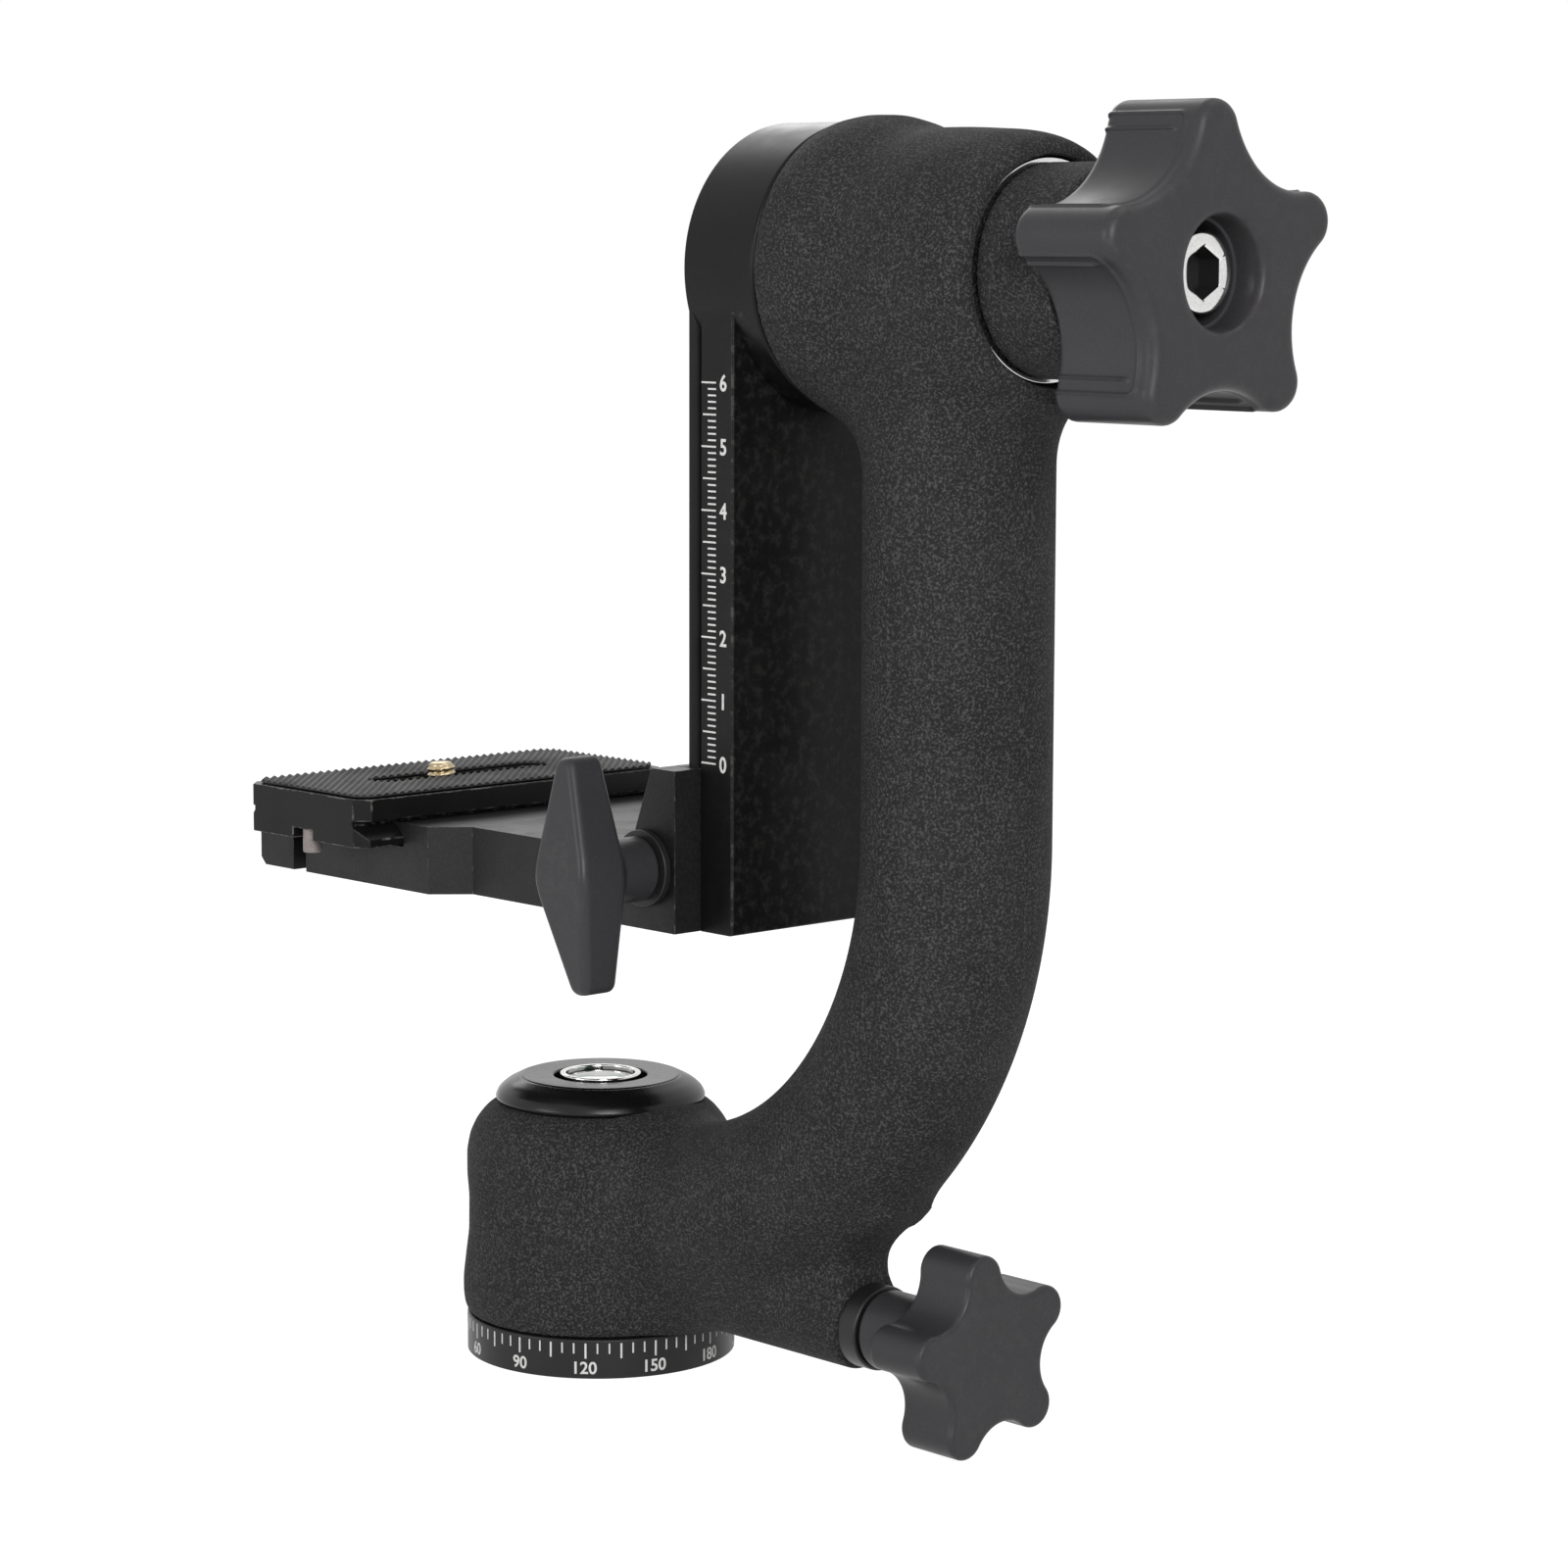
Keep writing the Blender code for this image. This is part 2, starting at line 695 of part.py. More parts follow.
def build_heel():
    """The web of the casting that fills the corner between the lock boss and the arm's underside."""
    centre_x = pan_boss_end - heel_set_back + heel_hollow_radius
    centre_z = pan_lock_height + pan_boss_radius + heel_lift
    outline = [(0, pan_lock_height), (centre_x - heel_hollow_radius, pan_lock_height)]
    for angle in (200, 180, 160, 140, 120, 105):
        x, z = polar(heel_hollow_radius, math.radians(angle))
        outline.append((centre_x + x, centre_z + z))
    outline.append((centre_x - arm_tube_radius, centre_z + arm_tube_radius))
    outline.append((0, arm_root_height))
    heel = side_extruded("arm_heel", outline, -heel_thickness / 2, heel_thickness / 2, cutters)
    return bevel(heel, heel_edge, 2, math.radians(60))


def build_main_arm():
    hub_profile = [
        (0, hub_top + edge_round), (hub_crown_radius, hub_top + edge_round),
        (hub_crown_radius + (hub_shoulder_radius - hub_crown_radius) * crown_share, hub_top - crown_drop),
        (hub_shoulder_radius, hub_top - hub_shoulder_drop),
        (hub_chest_radius - edge_round, hub_top - hub_chest_drop),
        (hub_chest_radius, lower_bearing_top),
        (hub_waist_radius, drum_top - hub_skirt_height / 2),
        (hub_bulge_radius - edge_round / 2, drum_bottom + hub_skirt_height),
        (hub_bulge_radius, drum_bottom), (hub_foot_radius, hub_bottom), (0, hub_bottom)]
    arm = turned("main_arm", hub_profile, pan_frame, parts, sand_coat, steps=fine_steps)
    bulge_x = housing_left + housing_bulge_length
    neck_x = bulge_x + housing_neck_length
    end_drop = housing_body_radius - housing_end_radius
    end_round = [(housing_body_radius - end_drop * (1 - math.sin(angle)),
                  housing_right - housing_end_round * (1 - math.cos(angle)))
                 for angle in (0, math.pi / 6, math.pi / 3, math.pi / 2)]
    housing_profile = [
        (0, housing_right), *end_round, (housing_body_radius, neck_x),
        (housing_bulge_radius - edge_round, bulge_x),
        (housing_bulge_radius, housing_left + housing_bulge_length / 2),
        (housing_mouth_radius, housing_left), (0, housing_left)]
    housing = turned("arm_housing", housing_profile, tilt_frame, cutters, steps=fine_steps)
    boss_profile = [
        (0, pan_boss_end), (pan_boss_radius - edge_round, pan_boss_end),
        (pan_boss_radius, pan_boss_end - edge_round),
        (pan_boss_radius, hub_bulge_radius + pan_boss_root_radius),
        (pan_boss_root_radius, hub_bulge_radius), (pan_boss_root_radius, hub_crown_radius),
        (0, hub_crown_radius)]
    boss = turned("arm_boss", boss_profile, pan_lock_frame, cutters)
    join(arm, build_arm_tube(), housing, boss, build_heel())

    pan_bore = turned("arm_pan_bore", [
        (0, hub_top + arm_tube_radius), (cap_radius + fit_gap, hub_top + arm_tube_radius),
        (cap_radius + fit_gap, hub_top), (bearing_bore_radius, hub_top),
        (bearing_bore_radius, upper_bearing_bottom - fit_gap),
        (pan_shoulder_radius, upper_bearing_bottom - fit_gap),
        (pan_shoulder_radius, lower_bearing_top + fit_gap),
        (bearing_bore_radius, lower_bearing_top + fit_gap),
        (bearing_bore_radius, drum_bottom + fit_gap),
        (spindle_flange_radius + fit_gap, drum_bottom + fit_gap),
        (spindle_flange_radius + fit_gap, hub_bottom - overrun), (0, hub_bottom - overrun)],
        pan_frame, cutters)
    lock_bore = turned("arm_lock_bore", [
        (0, pan_boss_end + overrun), (lock_stud_radius + fit_gap, pan_boss_end + overrun),
        (lock_stud_radius + fit_gap, brake_shoe_right + lock_pitch + fit_gap),
        (brake_shoe_radius + fit_gap, brake_shoe_right + lock_pitch + fit_gap),
        (brake_shoe_radius + fit_gap, pan_shoulder_radius), (0, pan_shoulder_radius)],
        pan_lock_frame, cutters, steps=small_steps)
    washer_right = disc_right + fit_gap + friction_washer_thickness + fit_gap
    left_seat = washer_right + tilt_bearing_length + fit_gap
    right_seat = end_ring_left - fit_gap - tilt_bearing_length - fit_gap
    tilt_bore = turned("arm_tilt_bore", [
        (0, housing_right + overrun), (end_ring_radius + fit_gap, housing_right + overrun),
        (end_ring_radius + fit_gap, end_ring_left - fit_gap),
        (tilt_bearing_radius + fit_gap, end_ring_left - fit_gap),
        (tilt_bearing_radius + fit_gap, right_seat), (tilt_shoulder_radius, right_seat),
        (tilt_shoulder_radius, left_seat), (tilt_bearing_radius + fit_gap, left_seat),
        (tilt_bearing_radius + fit_gap, washer_right), (friction_washer_radius + fit_gap, washer_right),
        (friction_washer_radius + fit_gap, housing_left - overrun), (0, housing_left - overrun)],
        tilt_frame, cutters)
    cut(arm, pan_bore, lock_bore, tilt_bore)
    return washer_right


def build_pan_bearings():
    inner = spindle_radius + fit_gap
    bearing("pan_lower_bearing", inner, pan_bearing_radius,
            lower_bearing_bottom, lower_bearing_top, pan_frame)
    bearing("pan_upper_bearing", inner, pan_bearing_radius,
            upper_bearing_bottom, upper_bearing_top, pan_frame)


def build_level_cap():
    profile = [
        (0, cap_top), (cap_flat_radius, cap_top), (cap_shoulder_radius, cap_top - cap_shoulder_drop),
        (cap_radius - edge_round, cap_top - cap_rim_drop), (cap_radius, cap_bottom + edge_round),
        (cap_radius - edge_round, cap_bottom), (pan_bearing_radius - fit_gap, cap_bottom),
        (pan_bearing_radius - fit_gap, cap_bottom - cap_spigot_depth),
        (pan_bearing_radius - fit_gap - cap_spigot_wall, cap_bottom - cap_spigot_depth),
        (pan_bearing_radius - fit_gap - cap_spigot_wall, cap_bottom), (0, cap_bottom)]
    cap = turned("level_cap", profile, pan_frame, parts, gloss_black, steps=fine_steps)
    cut(cap, bore("level_well", level_bezel_radius + level_moat, cap_top + overrun, level_floor, pan_frame))
    low = level_floor + fit_gap
    turned("level_bezel",
           ring_profile(level_bezel_radius - level_bezel_wall, level_bezel_radius, low,
                        cap_top + level_bezel_rise),
           pan_frame, parts, chrome, closed=True)
    vial_radius = level_bezel_radius - level_bezel_wall - fit_gap
    dome = [(0, cap_top), (vial_radius / 2, cap_top - edge_round / 6), (vial_radius, cap_top - edge_round),
            (vial_radius, low), (0, low)]
    turned("level_vial", dome, pan_frame, parts, green_fluid)


def build_pan_lock():
    turned("pan_brake_shoe", solid_profile(brake_shoe_radius, brake_shoe_left, brake_shoe_right),
           pan_lock_frame, parts, nylon, steps=small_steps)
    turned("pan_lock_collar",
           ring_profile(lock_stud_radius + fit_gap, pan_collar_radius, pan_collar_left,
                        pan_collar_left + pan_collar_length, edge_round),
           pan_lock_frame, parts, black_anodised, closed=True)
    stud_end = pan_knob_back + pan_knob_thickness / 2
    turned("pan_lock_stud", solid_profile(lock_stud_radius, brake_shoe_right + fit_gap, stud_end),
           pan_lock_frame, parts, steel, steps=small_steps)
    build_pan_knob(stud_end)


def build_pan_knob(stud_end):
    outline = star_outline(pan_knob_radius, pan_knob_lobe_radius, pan_knob_valley_radius, knob_lobes,
                           pan_knob_turn)
    middle = Matrix.Translation((0, 0, pan_knob_back + pan_knob_thickness / 2))
    knob = extruded("pan_lock_knob", outline, pan_knob_thickness, pan_lock_frame @ middle,
                    parts, knob_plastic)
    bevel(knob, pan_knob_edge, 2)
    neck = bore("pan_knob_neck", pan_knob_neck_radius, pan_knob_back + pan_knob_edge, pan_neck_left,
                pan_lock_frame, small_steps)
    hole = bore("pan_knob_hole", lock_stud_radius + fit_gap, stud_end + fit_gap, pan_neck_left - overrun,
                pan_lock_frame, small_steps)
    join(knob, neck)
    cut(knob, hole)


def build_tilt_group(washer_right):
    shaft_start = shaft_flange_left
    shoulder = collar_left + shaft_pilot_length
    profile = [
        (0, shaft_thread_end), (shaft_thread_radius, shaft_thread_end),
        (shaft_thread_radius, shoulder), (shaft_radius, shoulder),
        (shaft_radius, shaft_flange_right), (shaft_flange_radius, shaft_flange_right),
        (shaft_flange_radius, shaft_start), (0, shaft_start)]
    shaft = turned("tilt_shaft", profile, tilt_frame, parts, steel)
    tip_hole = bore("shaft_tip_hole", knob_screw_radius + fit_gap, shaft_thread_end + overrun,
                    tilt_recess_floor + knob_screw_clear - knob_screw_length - fit_gap,
                    tilt_frame, small_steps)
    cut(shaft, tip_hole)

    inner = shaft_radius + fit_gap
    bearing("tilt_left_bearing", inner, tilt_bearing_radius, washer_right, washer_right + tilt_bearing_length,
            tilt_frame)
    right_high = end_ring_left - fit_gap
    bearing("tilt_right_bearing", inner, tilt_bearing_radius, right_high - tilt_bearing_length, right_high,
            tilt_frame)
    washer_left = disc_right + fit_gap
    turned("tilt_friction_washer",
           ring_profile(shaft_radius + 2 * fit_gap, friction_washer_radius, washer_left,
                        washer_left + friction_washer_thickness),
           tilt_frame, parts, nylon, closed=True)
    turned("tilt_end_ring", ring_profile(inner, end_ring_radius, end_ring_left, end_ring_right),
           tilt_frame, parts, chrome, closed=True, steps=fine_steps)
    collar_profile = [
        (shaft_thread_radius + fit_gap, collar_right), (collar_radius - edge_round, collar_right),
        (collar_radius, collar_right - edge_round), (collar_radius, collar_left + edge_round),
        (collar_radius - edge_round, collar_left), (inner, collar_left),
        (inner, shoulder + tilt_lock_pitch), (shaft_thread_radius + fit_gap, shoulder + tilt_lock_pitch)]
    turned("tilt_collar", collar_profile, tilt_frame, parts, sand_coat, closed=True, steps=fine_steps)
    screw_frame = tilt_frame @ Matrix.Translation((0, 0, tilt_recess_floor + knob_screw_clear))
    screw_piece("tilt_knob_screw", knob_screw_radius, knob_screw_head_radius, knob_screw_head_height,
                knob_screw_length, screw_frame, chrome)


def build_tilt_knob():
    outline = star_outline(tilt_knob_radius, tilt_knob_lobe_radius, tilt_knob_valley_radius, knob_lobes,
                           tilt_knob_turn)
    middle = Matrix.Translation((0, 0, tilt_knob_back + tilt_knob_thickness / 2))
    knob = extruded("tilt_lock_knob", outline, tilt_knob_thickness, tilt_frame @ middle,
                    parts, knob_plastic)
    bevel(knob, tilt_knob_edge, 2)
    recess = bore("knob_recess", tilt_knob_recess_radius, tilt_knob_front + overrun,
                  tilt_recess_floor, tilt_frame)
    through = bore("knob_through", shaft_thread_radius + 2 * fit_gap, tilt_knob_front,
                   tilt_knob_back - overrun, tilt_frame, small_steps)
    bush_room = bore("knob_bush_room", tilt_bush_radius + fit_gap,
                     tilt_knob_back + tilt_bush_length + fit_gap, tilt_knob_back - overrun, tilt_frame)
    cut(knob, recess, through, bush_room)
    turned("tilt_knob_bush",
           ring_profile(shaft_thread_radius + fit_gap, tilt_bush_radius, tilt_knob_back,
                        tilt_knob_back + tilt_bush_length),
           tilt_frame, parts, brass, closed=True)


def build_swing_arm():
    """A rail with a groove along each edge, which ends in a disc across its whole thickness."""
    arm = block("swing_arm", (rail_left, -rail_half_width, rail_bottom),
                (rail_right, rail_half_width, tilt_height), parts, black_anodised)
    low = rail_bottom - overrun
    height = tilt_height + overrun - low
    lift = Matrix.Translation((0, 0, low + height / 2))
    for side, label in ((-1, "front"), (1, "back")):
        outer = side * (rail_half_width + overrun)
        inner = side * (rail_half_width - groove_depth)
        start_x = rail_left + groove_start
        spread = groove_slope * overrun / groove_depth
        ridge = [(start_x - spread, outer), (start_x + groove_slope, inner),
                 (rail_left + groove_end, inner), (rail_left + groove_end, outer)]
        cut(arm, extruded("rail_groove_" + label, ridge, height, lift, cutters))
    disc = turned("swing_disc", solid_profile(disc_radius, disc_right, rail_left),
                  tilt_frame, cutters, steps=fine_steps)
    join(arm, disc)
    pocket = bore("shaft_pocket", shaft_flange_radius + fit_gap, disc_right + overrun,
                  shaft_flange_left - fit_gap, tilt_frame)
    cut(arm, pocket)
    for number, spot in ring_of(swing_screw_count, swing_screw_circle, math.pi / swing_screw_count):
        line = tilt_frame @ Matrix.Translation(spot)
        turned_round = line @ Matrix.Translation((0, 0, rail_left)) @ Matrix.Rotation(math.pi, 4, "X")
        seat = -swing_screw_head_height - edge_round
        length = disc_right - rail_left - swing_screw_head_height - 4 * edge_round
        screw_piece("swing_screw_%d" % number, swing_screw_radius, swing_screw_head_radius,
                    swing_screw_head_height, length, turned_round @ Matrix.Translation((0, 0, seat)), steel)
        sink = swing_screw_head_radius + fit_gap
        through = swing_screw_radius + fit_gap
        end = seat - length - fit_gap
        hole = turned("swing_screw_hole_%d" % number, [
            (0, overrun), (sink, overrun), (sink, seat - fit_gap), (through, seat - fit_gap),
            (through, end), (0, end)], turned_round, cutters, steps=small_steps)
        cut(arm, hole)
        cut(bpy.data.objects["tilt_shaft"], hole)


def slider_outline():
    """Side outline of the slider in world X and Z, with its slanted gusset edge."""
    return [(slider_front, rail_bottom), (slider_front, platform_top), (gusset_top_x, platform_top),
            (gusset_knee_x, gusset_knee_height), (platform_back, web_top), (platform_back, rail_bottom)]


def side_extruded(name, outline, low_y, high_y, collection, material=None):
    """An outline in world X and Z, given thickness from low_y to high_y."""
    turn = Matrix(((1, 0, 0, 0), (0, 0, -1, (low_y + high_y) / 2), (0, 1, 0, 0), (0, 0, 0, 1)))
    return extruded(name, outline, high_y - low_y, turn, collection, material)


def hook_pieces(label, side, inner):
    """The finger that reaches past the rail's edge, with the tooth that enters its groove."""
    outer = side * jaw_outer_half_width
    root_x = slider_front - overrun
    low_y, high_y = sorted((outer, side * inner))
    finger = block(label + "_finger", (root_x, low_y, rail_bottom), (jaw_hook_reach, high_y, platform_top),
                   cutters)
    tip = rail_half_width - groove_depth + fit_gap
    tooth_root = rail_left + groove_start + 2 * fit_gap
    tooth = [(tooth_root, side * (inner + fit_gap)), (tooth_root, side * rail_half_width),
             (tooth_root + groove_slope * (rail_half_width - tip) / groove_depth, side * tip),
             (jaw_hook_reach, side * tip), (jaw_hook_reach, side * (inner + fit_gap))]
    if side > 0:
        tooth.reverse()
    height = platform_top - rail_bottom
    lift = Matrix.Translation((0, 0, rail_bottom + height / 2))
    return finger, extruded(label + "_tooth", tooth, height, lift, cutters)


def build_platform():
    web_height = web_top - rail_bottom
    plan = [(clamp_base_left, -clamp_half_length), (clamp_right, -clamp_half_length),
            (clamp_right + clamp_blend, -web_half_width), (platform_back + overrun, -web_half_width),
            (platform_back + overrun, web_half_width), (clamp_right + clamp_blend, web_half_width),
            (clamp_right, clamp_half_length), (clamp_base_left, clamp_half_length)]
    lift = Matrix.Translation((0, 0, rail_bottom + web_height / 2))
    platform = extruded("platform", plan, web_height, lift, parts, black_casting)
    jaw_room = block("platform_jaw_room", (platform_back, -clamp_half_length, rail_bottom - overrun),
                     (slider_front + overrun, -slider_half_width, platform_top), cutters)
    cut(platform, jaw_room)
    slider = side_extruded("platform_slider", slider_outline(), -slider_half_width, jaw_outer_half_width,
                           cutters)
    finger, tooth = hook_pieces("platform", 1, slider_half_width)
    join(platform, slider, finger, tooth)
    wall_top = plate_centre_x + plate_notch_half_width + channel_slack
    wall_foot = plate_centre_x + plate_foot_half_width + channel_slack
    channel = [(clamp_base_left - overrun, channel_floor), (wall_foot, channel_floor),
               (wall_foot, plate_foot_top), (wall_top, plate_slope_top), (wall_top, web_top + overrun),
               (clamp_base_left - overrun, web_top + overrun)]
    cut(platform, side_extruded("plate_channel", channel, -clamp_half_length - overrun,
                                clamp_half_length + overrun, cutters))
    stud_hole = bore("platform_stud_hole", lock_stud_radius + fit_gap, slider_half_width + overrun,
                     height_stud_reach, height_frame, small_steps)
    screw_hole = bore("platform_screw_hole", clamp_screw_radius + fit_gap, overrun - clamp_base_left,
                      -clamp_base_left - clamp_screw_reach - fit_gap, clamp_frame, small_steps)
    cut(platform, stud_hole, screw_hole)
    for number, side in ((1, -1), (2, 1)):
        line = frame_along(LEFT, CLAMP_AXIS + Vector((0, side * clamp_pin_spacing / 2, 0)))
        pin_end = -clamp_jaw_left - fit_gap
        turned("clamp_guide_pin_%d" % number,
               solid_profile(clamp_pin_radius, pin_end, -clamp_base_left - clamp_pin_reach),
               line, parts, steel, steps=small_steps)
        cut(platform, bore("platform_pin_hole_%d" % number, clamp_pin_radius + fit_gap,
                           overrun - clamp_base_left, -clamp_base_left - clamp_pin_reach - fit_gap,
                           line, small_steps))


def build_rail_jaw():
    outline = slider_outline()
    jaw = side_extruded("rail_jaw", outline, -jaw_outer_half_width, -jaw_inner_half_width,
                        parts, black_casting)
    finger, tooth = hook_pieces("jaw", -1, jaw_inner_half_width)
    join(jaw, finger, tooth)
    hole = bore("jaw_stud_hole", lock_stud_radius + fit_gap, jaw_outer_half_width + overrun,
                jaw_inner_half_width - overrun, height_frame, small_steps)
    cut(jaw, hole)


def build_height_lock():
    washer_low = jaw_outer_half_width + fit_gap
    washer_high = washer_low + height_washer_thickness
    turned("height_washer",
           ring_profile(lock_stud_radius + fit_gap, height_washer_radius, washer_low, washer_high),
           height_frame, parts, steel, closed=True, steps=small_steps)
    neck_low = washer_high + fit_gap
    wing_low = neck_low + height_neck_length
    half_h, half_w, tip_w = height_wing_half_height, height_wing_half_width, height_wing_tip_half_width
    diamond = [(-half_h, -tip_w), (-half_h, tip_w), (0, half_w),
               (half_h, tip_w), (half_h, -tip_w), (0, -half_w)]
    diamond.reverse()
    middle = Matrix.Translation((0, 0, wing_low + height_wing_thickness / 2))
    spin = Matrix.Rotation(height_knob_turn, 4, "Z")
    knob = extruded("height_lock_knob", diamond, height_wing_thickness, height_frame @ middle @ spin,
                    parts, knob_plastic)
    tip_face = wing_low + height_wing_thickness - 2 * height_wing_tip_recess
    peak = [(-2 * half_h, neck_low), (2 * half_h, neck_low), (2 * half_h, tip_face),
            (0, wing_low + height_wing_thickness), (-2 * half_h, tip_face)]
    sideways = height_frame @ spin @ Matrix.Rotation(math.pi / 2, 4, "X")
    combine(knob, extruded("height_wing_faces", peak, 4 * half_w, sideways, cutters), "INTERSECT")
    bevel(knob, height_wing_edge, 1, math.radians(30))
    neck = bore("height_knob_neck", height_neck_radius, wing_low + height_wing_edge, neck_low, height_frame)
    stud_end = wing_low + height_wing_thickness / 2
    hole = bore("height_knob_hole", lock_stud_radius + fit_gap, stud_end + fit_gap, neck_low - overrun,
                height_frame, small_steps)
    join(knob, neck)
    cut(knob, hole)
    turned("height_lock_stud", solid_profile(lock_stud_radius, stud_end, height_stud_reach + fit_gap),
           height_frame, parts, steel, steps=small_steps)


def build_clamp():
    foot_x = plate_centre_x - plate_foot_half_width - channel_slack
    notch_x = plate_centre_x - plate_notch_half_width - channel_slack
    outline = [(clamp_jaw_left, rail_bottom + clamp_jaw_round),
               (clamp_jaw_left + clamp_jaw_round, rail_bottom),
               (clamp_jaw_toe, rail_bottom), (clamp_jaw_toe, channel_floor), (foot_x, channel_floor),
               (foot_x, plate_foot_top), (notch_x, plate_slope_top), (notch_x, web_top),
               (clamp_jaw_left, web_top)]
    jaw = side_extruded("clamp_jaw", outline, -clamp_half_length, clamp_half_length, parts, black_casting)
    screw_hole = bore("clamp_jaw_screw_hole", clamp_screw_radius + fit_gap, overrun - clamp_jaw_left,
                      -clamp_jaw_toe - overrun, clamp_frame, small_steps)
    cut(jaw, screw_hole)
    for number, side in ((1, -1), (2, 1)):
        line = frame_along(LEFT, CLAMP_AXIS + Vector((0, side * clamp_pin_spacing / 2, 0)))
        cut(jaw, bore("clamp_jaw_pin_hole_%d" % number, clamp_pin_radius + fit_gap, overrun - clamp_jaw_left,
                      -clamp_jaw_toe - overrun, line, small_steps))

    neck_low = fit_gap - clamp_jaw_left
    grip_low = neck_low + clamp_knob_neck_length
    grip_high = grip_low + clamp_knob_length
    outline = star_outline(clamp_knob_radius, clamp_knob_lobe_radius, clamp_knob_valley_radius,
                           clamp_knob_flutes, 0, 3)
    middle = Matrix.Translation((0, 0, (grip_low + grip_high) / 2))
    knob = extruded("clamp_knob", outline, clamp_knob_length, clamp_frame @ middle, parts, black_anodised)
    bevel(knob, edge_round)
    join(knob, bore("clamp_knob_neck", clamp_knob_neck_radius, neck_low, grip_low + edge_round, clamp_frame,
                    small_steps))
    stud_end = grip_low + clamp_knob_length / 2
    cut(knob, bore("clamp_knob_hole", clamp_screw_radius + fit_gap, stud_end + fit_gap, neck_low - overrun,
                   clamp_frame, small_steps))
    turned("clamp_screw", solid_profile(clamp_screw_radius, stud_end, -clamp_base_left - clamp_screw_reach),
           clamp_frame, parts, steel, steps=small_steps)


def build_plate():
    c = plate_centre_x
    right = [(plate_half_width, plate_top), (plate_half_width, plate_flange_bottom),
             (plate_notch_half_width, plate_flange_bottom), (plate_notch_half_width, plate_slope_top),
             (plate_foot_half_width, plate_foot_top), (plate_foot_half_width, plate_bottom)]
    outline = [(c + x, z) for x, z in right] + [(c - x, z) for x, z in reversed(right)]
    outline.reverse()
    back = plate_front + plate_length
    plate = side_extruded("qr_plate", outline, plate_front, back, parts, black_anodised)
    plan_half = plate_length / 2
    k = plate_corner
    plan = [(-plate_half_width, k - plan_half), (k - plate_half_width, -plan_half),
            (plate_half_width - k, -plan_half), (plate_half_width, k - plan_half),
            (plate_half_width, plan_half - k), (plate_half_width - k, plan_half),
            (k - plate_half_width, plan_half), (-plate_half_width, plan_half - k)]
    height = plate_top - plate_bottom + 2 * overrun
    centre = Matrix.Translation((c, plate_middle_y, (plate_top + plate_bottom) / 2))
    combine(plate, extruded("plate_plan", plan, height, centre, cutters), "INTERSECT")

    slot_lift = Matrix.Translation((c, plate_middle_y, plate_top))
    slot = extruded("plate_slot", capsule_outline(slot_length / 2, slot_half_width),
                    2 * (plate_top - slot_ceiling) + 2 * overrun, slot_lift, cutters)
    head_lift = Matrix.Translation((c, plate_middle_y, plate_bottom))
    head_room = extruded("plate_head_room",
                         capsule_outline(slot_length / 2 + slot_head_half_width - slot_half_width,
                                         slot_head_half_width),
                         2 * (slot_ceiling - plate_bottom), head_lift, cutters)
    pin_y = plate_front + stop_pin_inset
    pin_frame = frame_along(UP, Vector((c, pin_y, 0)))
    notch = block("plate_end_notch",
                  (c - stop_notch_half_width, plate_front - overrun, plate_bottom - overrun),
                  (c + stop_notch_half_width, pin_y + stop_pin_radius + fit_gap,
                   plate_bottom + stop_notch_height), cutters)
    pin_top = plate_bottom + stop_notch_height + stop_pin_rise
    pin_hole = bore("plate_pin_hole", stop_pin_radius / 2 + fit_gap, pin_top + fit_gap, plate_bottom,
                    pin_frame, small_steps)
    cut(plate, slot, head_room, notch, pin_hole)
    shoulder = plate_bottom + stop_notch_height - fit_gap
    pin_profile = [(0, pin_top), (stop_pin_radius / 2, pin_top), (stop_pin_radius / 2, shoulder),
                   (stop_pin_radius, shoulder), (stop_pin_radius, plate_bottom - stop_pin_drop),
                   (0, plate_bottom - stop_pin_drop)]
    turned("plate_stop_pin", pin_profile, pin_frame, parts, steel, steps=small_steps)

    narrow = 1 - pad_margin / plate_half_width
    short = 1 - pad_margin / plan_half
    pad_plan = [(narrow * x, short * y) for x, y in plan]
    pad_lift = Matrix.Translation((c, plate_middle_y, pad_bottom + pad_thickness / 2))
    pad = extruded("plate_pad", pad_plan, pad_thickness, pad_lift, parts, rubber)
    slot_plan = capsule_outline(slot_length / 2 + edge_round, slot_half_width + edge_round)
    pad_slot = extruded("pad_slot", slot_plan, pad_thickness + 2 * overrun, pad_lift, cutters)
    cut(pad, pad_slot)


def build_camera_screw():
    washer_top = slot_ceiling - fit_gap
    washer_low = washer_top - camera_washer_thickness
    head_top = washer_low - fit_gap
    head_low = head_top - camera_screw_head_height
    top = pad_bottom + pad_thickness + camera_screw_rise
    profile = [(0, top), (camera_screw_radius - edge_round, top), (camera_screw_radius, top - edge_round),
               (camera_screw_radius, head_top), (camera_screw_head_radius, head_top),
               (camera_screw_head_radius, head_low), (0, head_low)]
    screw = turned("camera_screw", profile, camera_frame, parts, brass, steps=small_steps)
    slit = block("camera_screw_slit", (-camera_screw_head_radius, -edge_round, head_low - overrun),
                 (camera_screw_head_radius, edge_round, head_low + camera_screw_head_height / 2), cutters)
    slit.matrix_world = Matrix.Translation(CAMERA_AXIS) @ slit.matrix_world
    cut(screw, slit)
    turned("camera_screw_washer",
           ring_profile(camera_screw_radius + fit_gap, camera_washer_radius, washer_low, washer_top),
           camera_frame, parts, steel, closed=True, steps=small_steps)


build_base()
tilt_washer_right = build_main_arm()
build_pan_bearings()
build_level_cap()
build_pan_lock()
build_tilt_group(tilt_washer_right)
build_tilt_knob()
build_swing_arm()
build_platform()
build_rail_jaw()
build_height_lock()
build_clamp()
build_plate()
build_camera_screw()

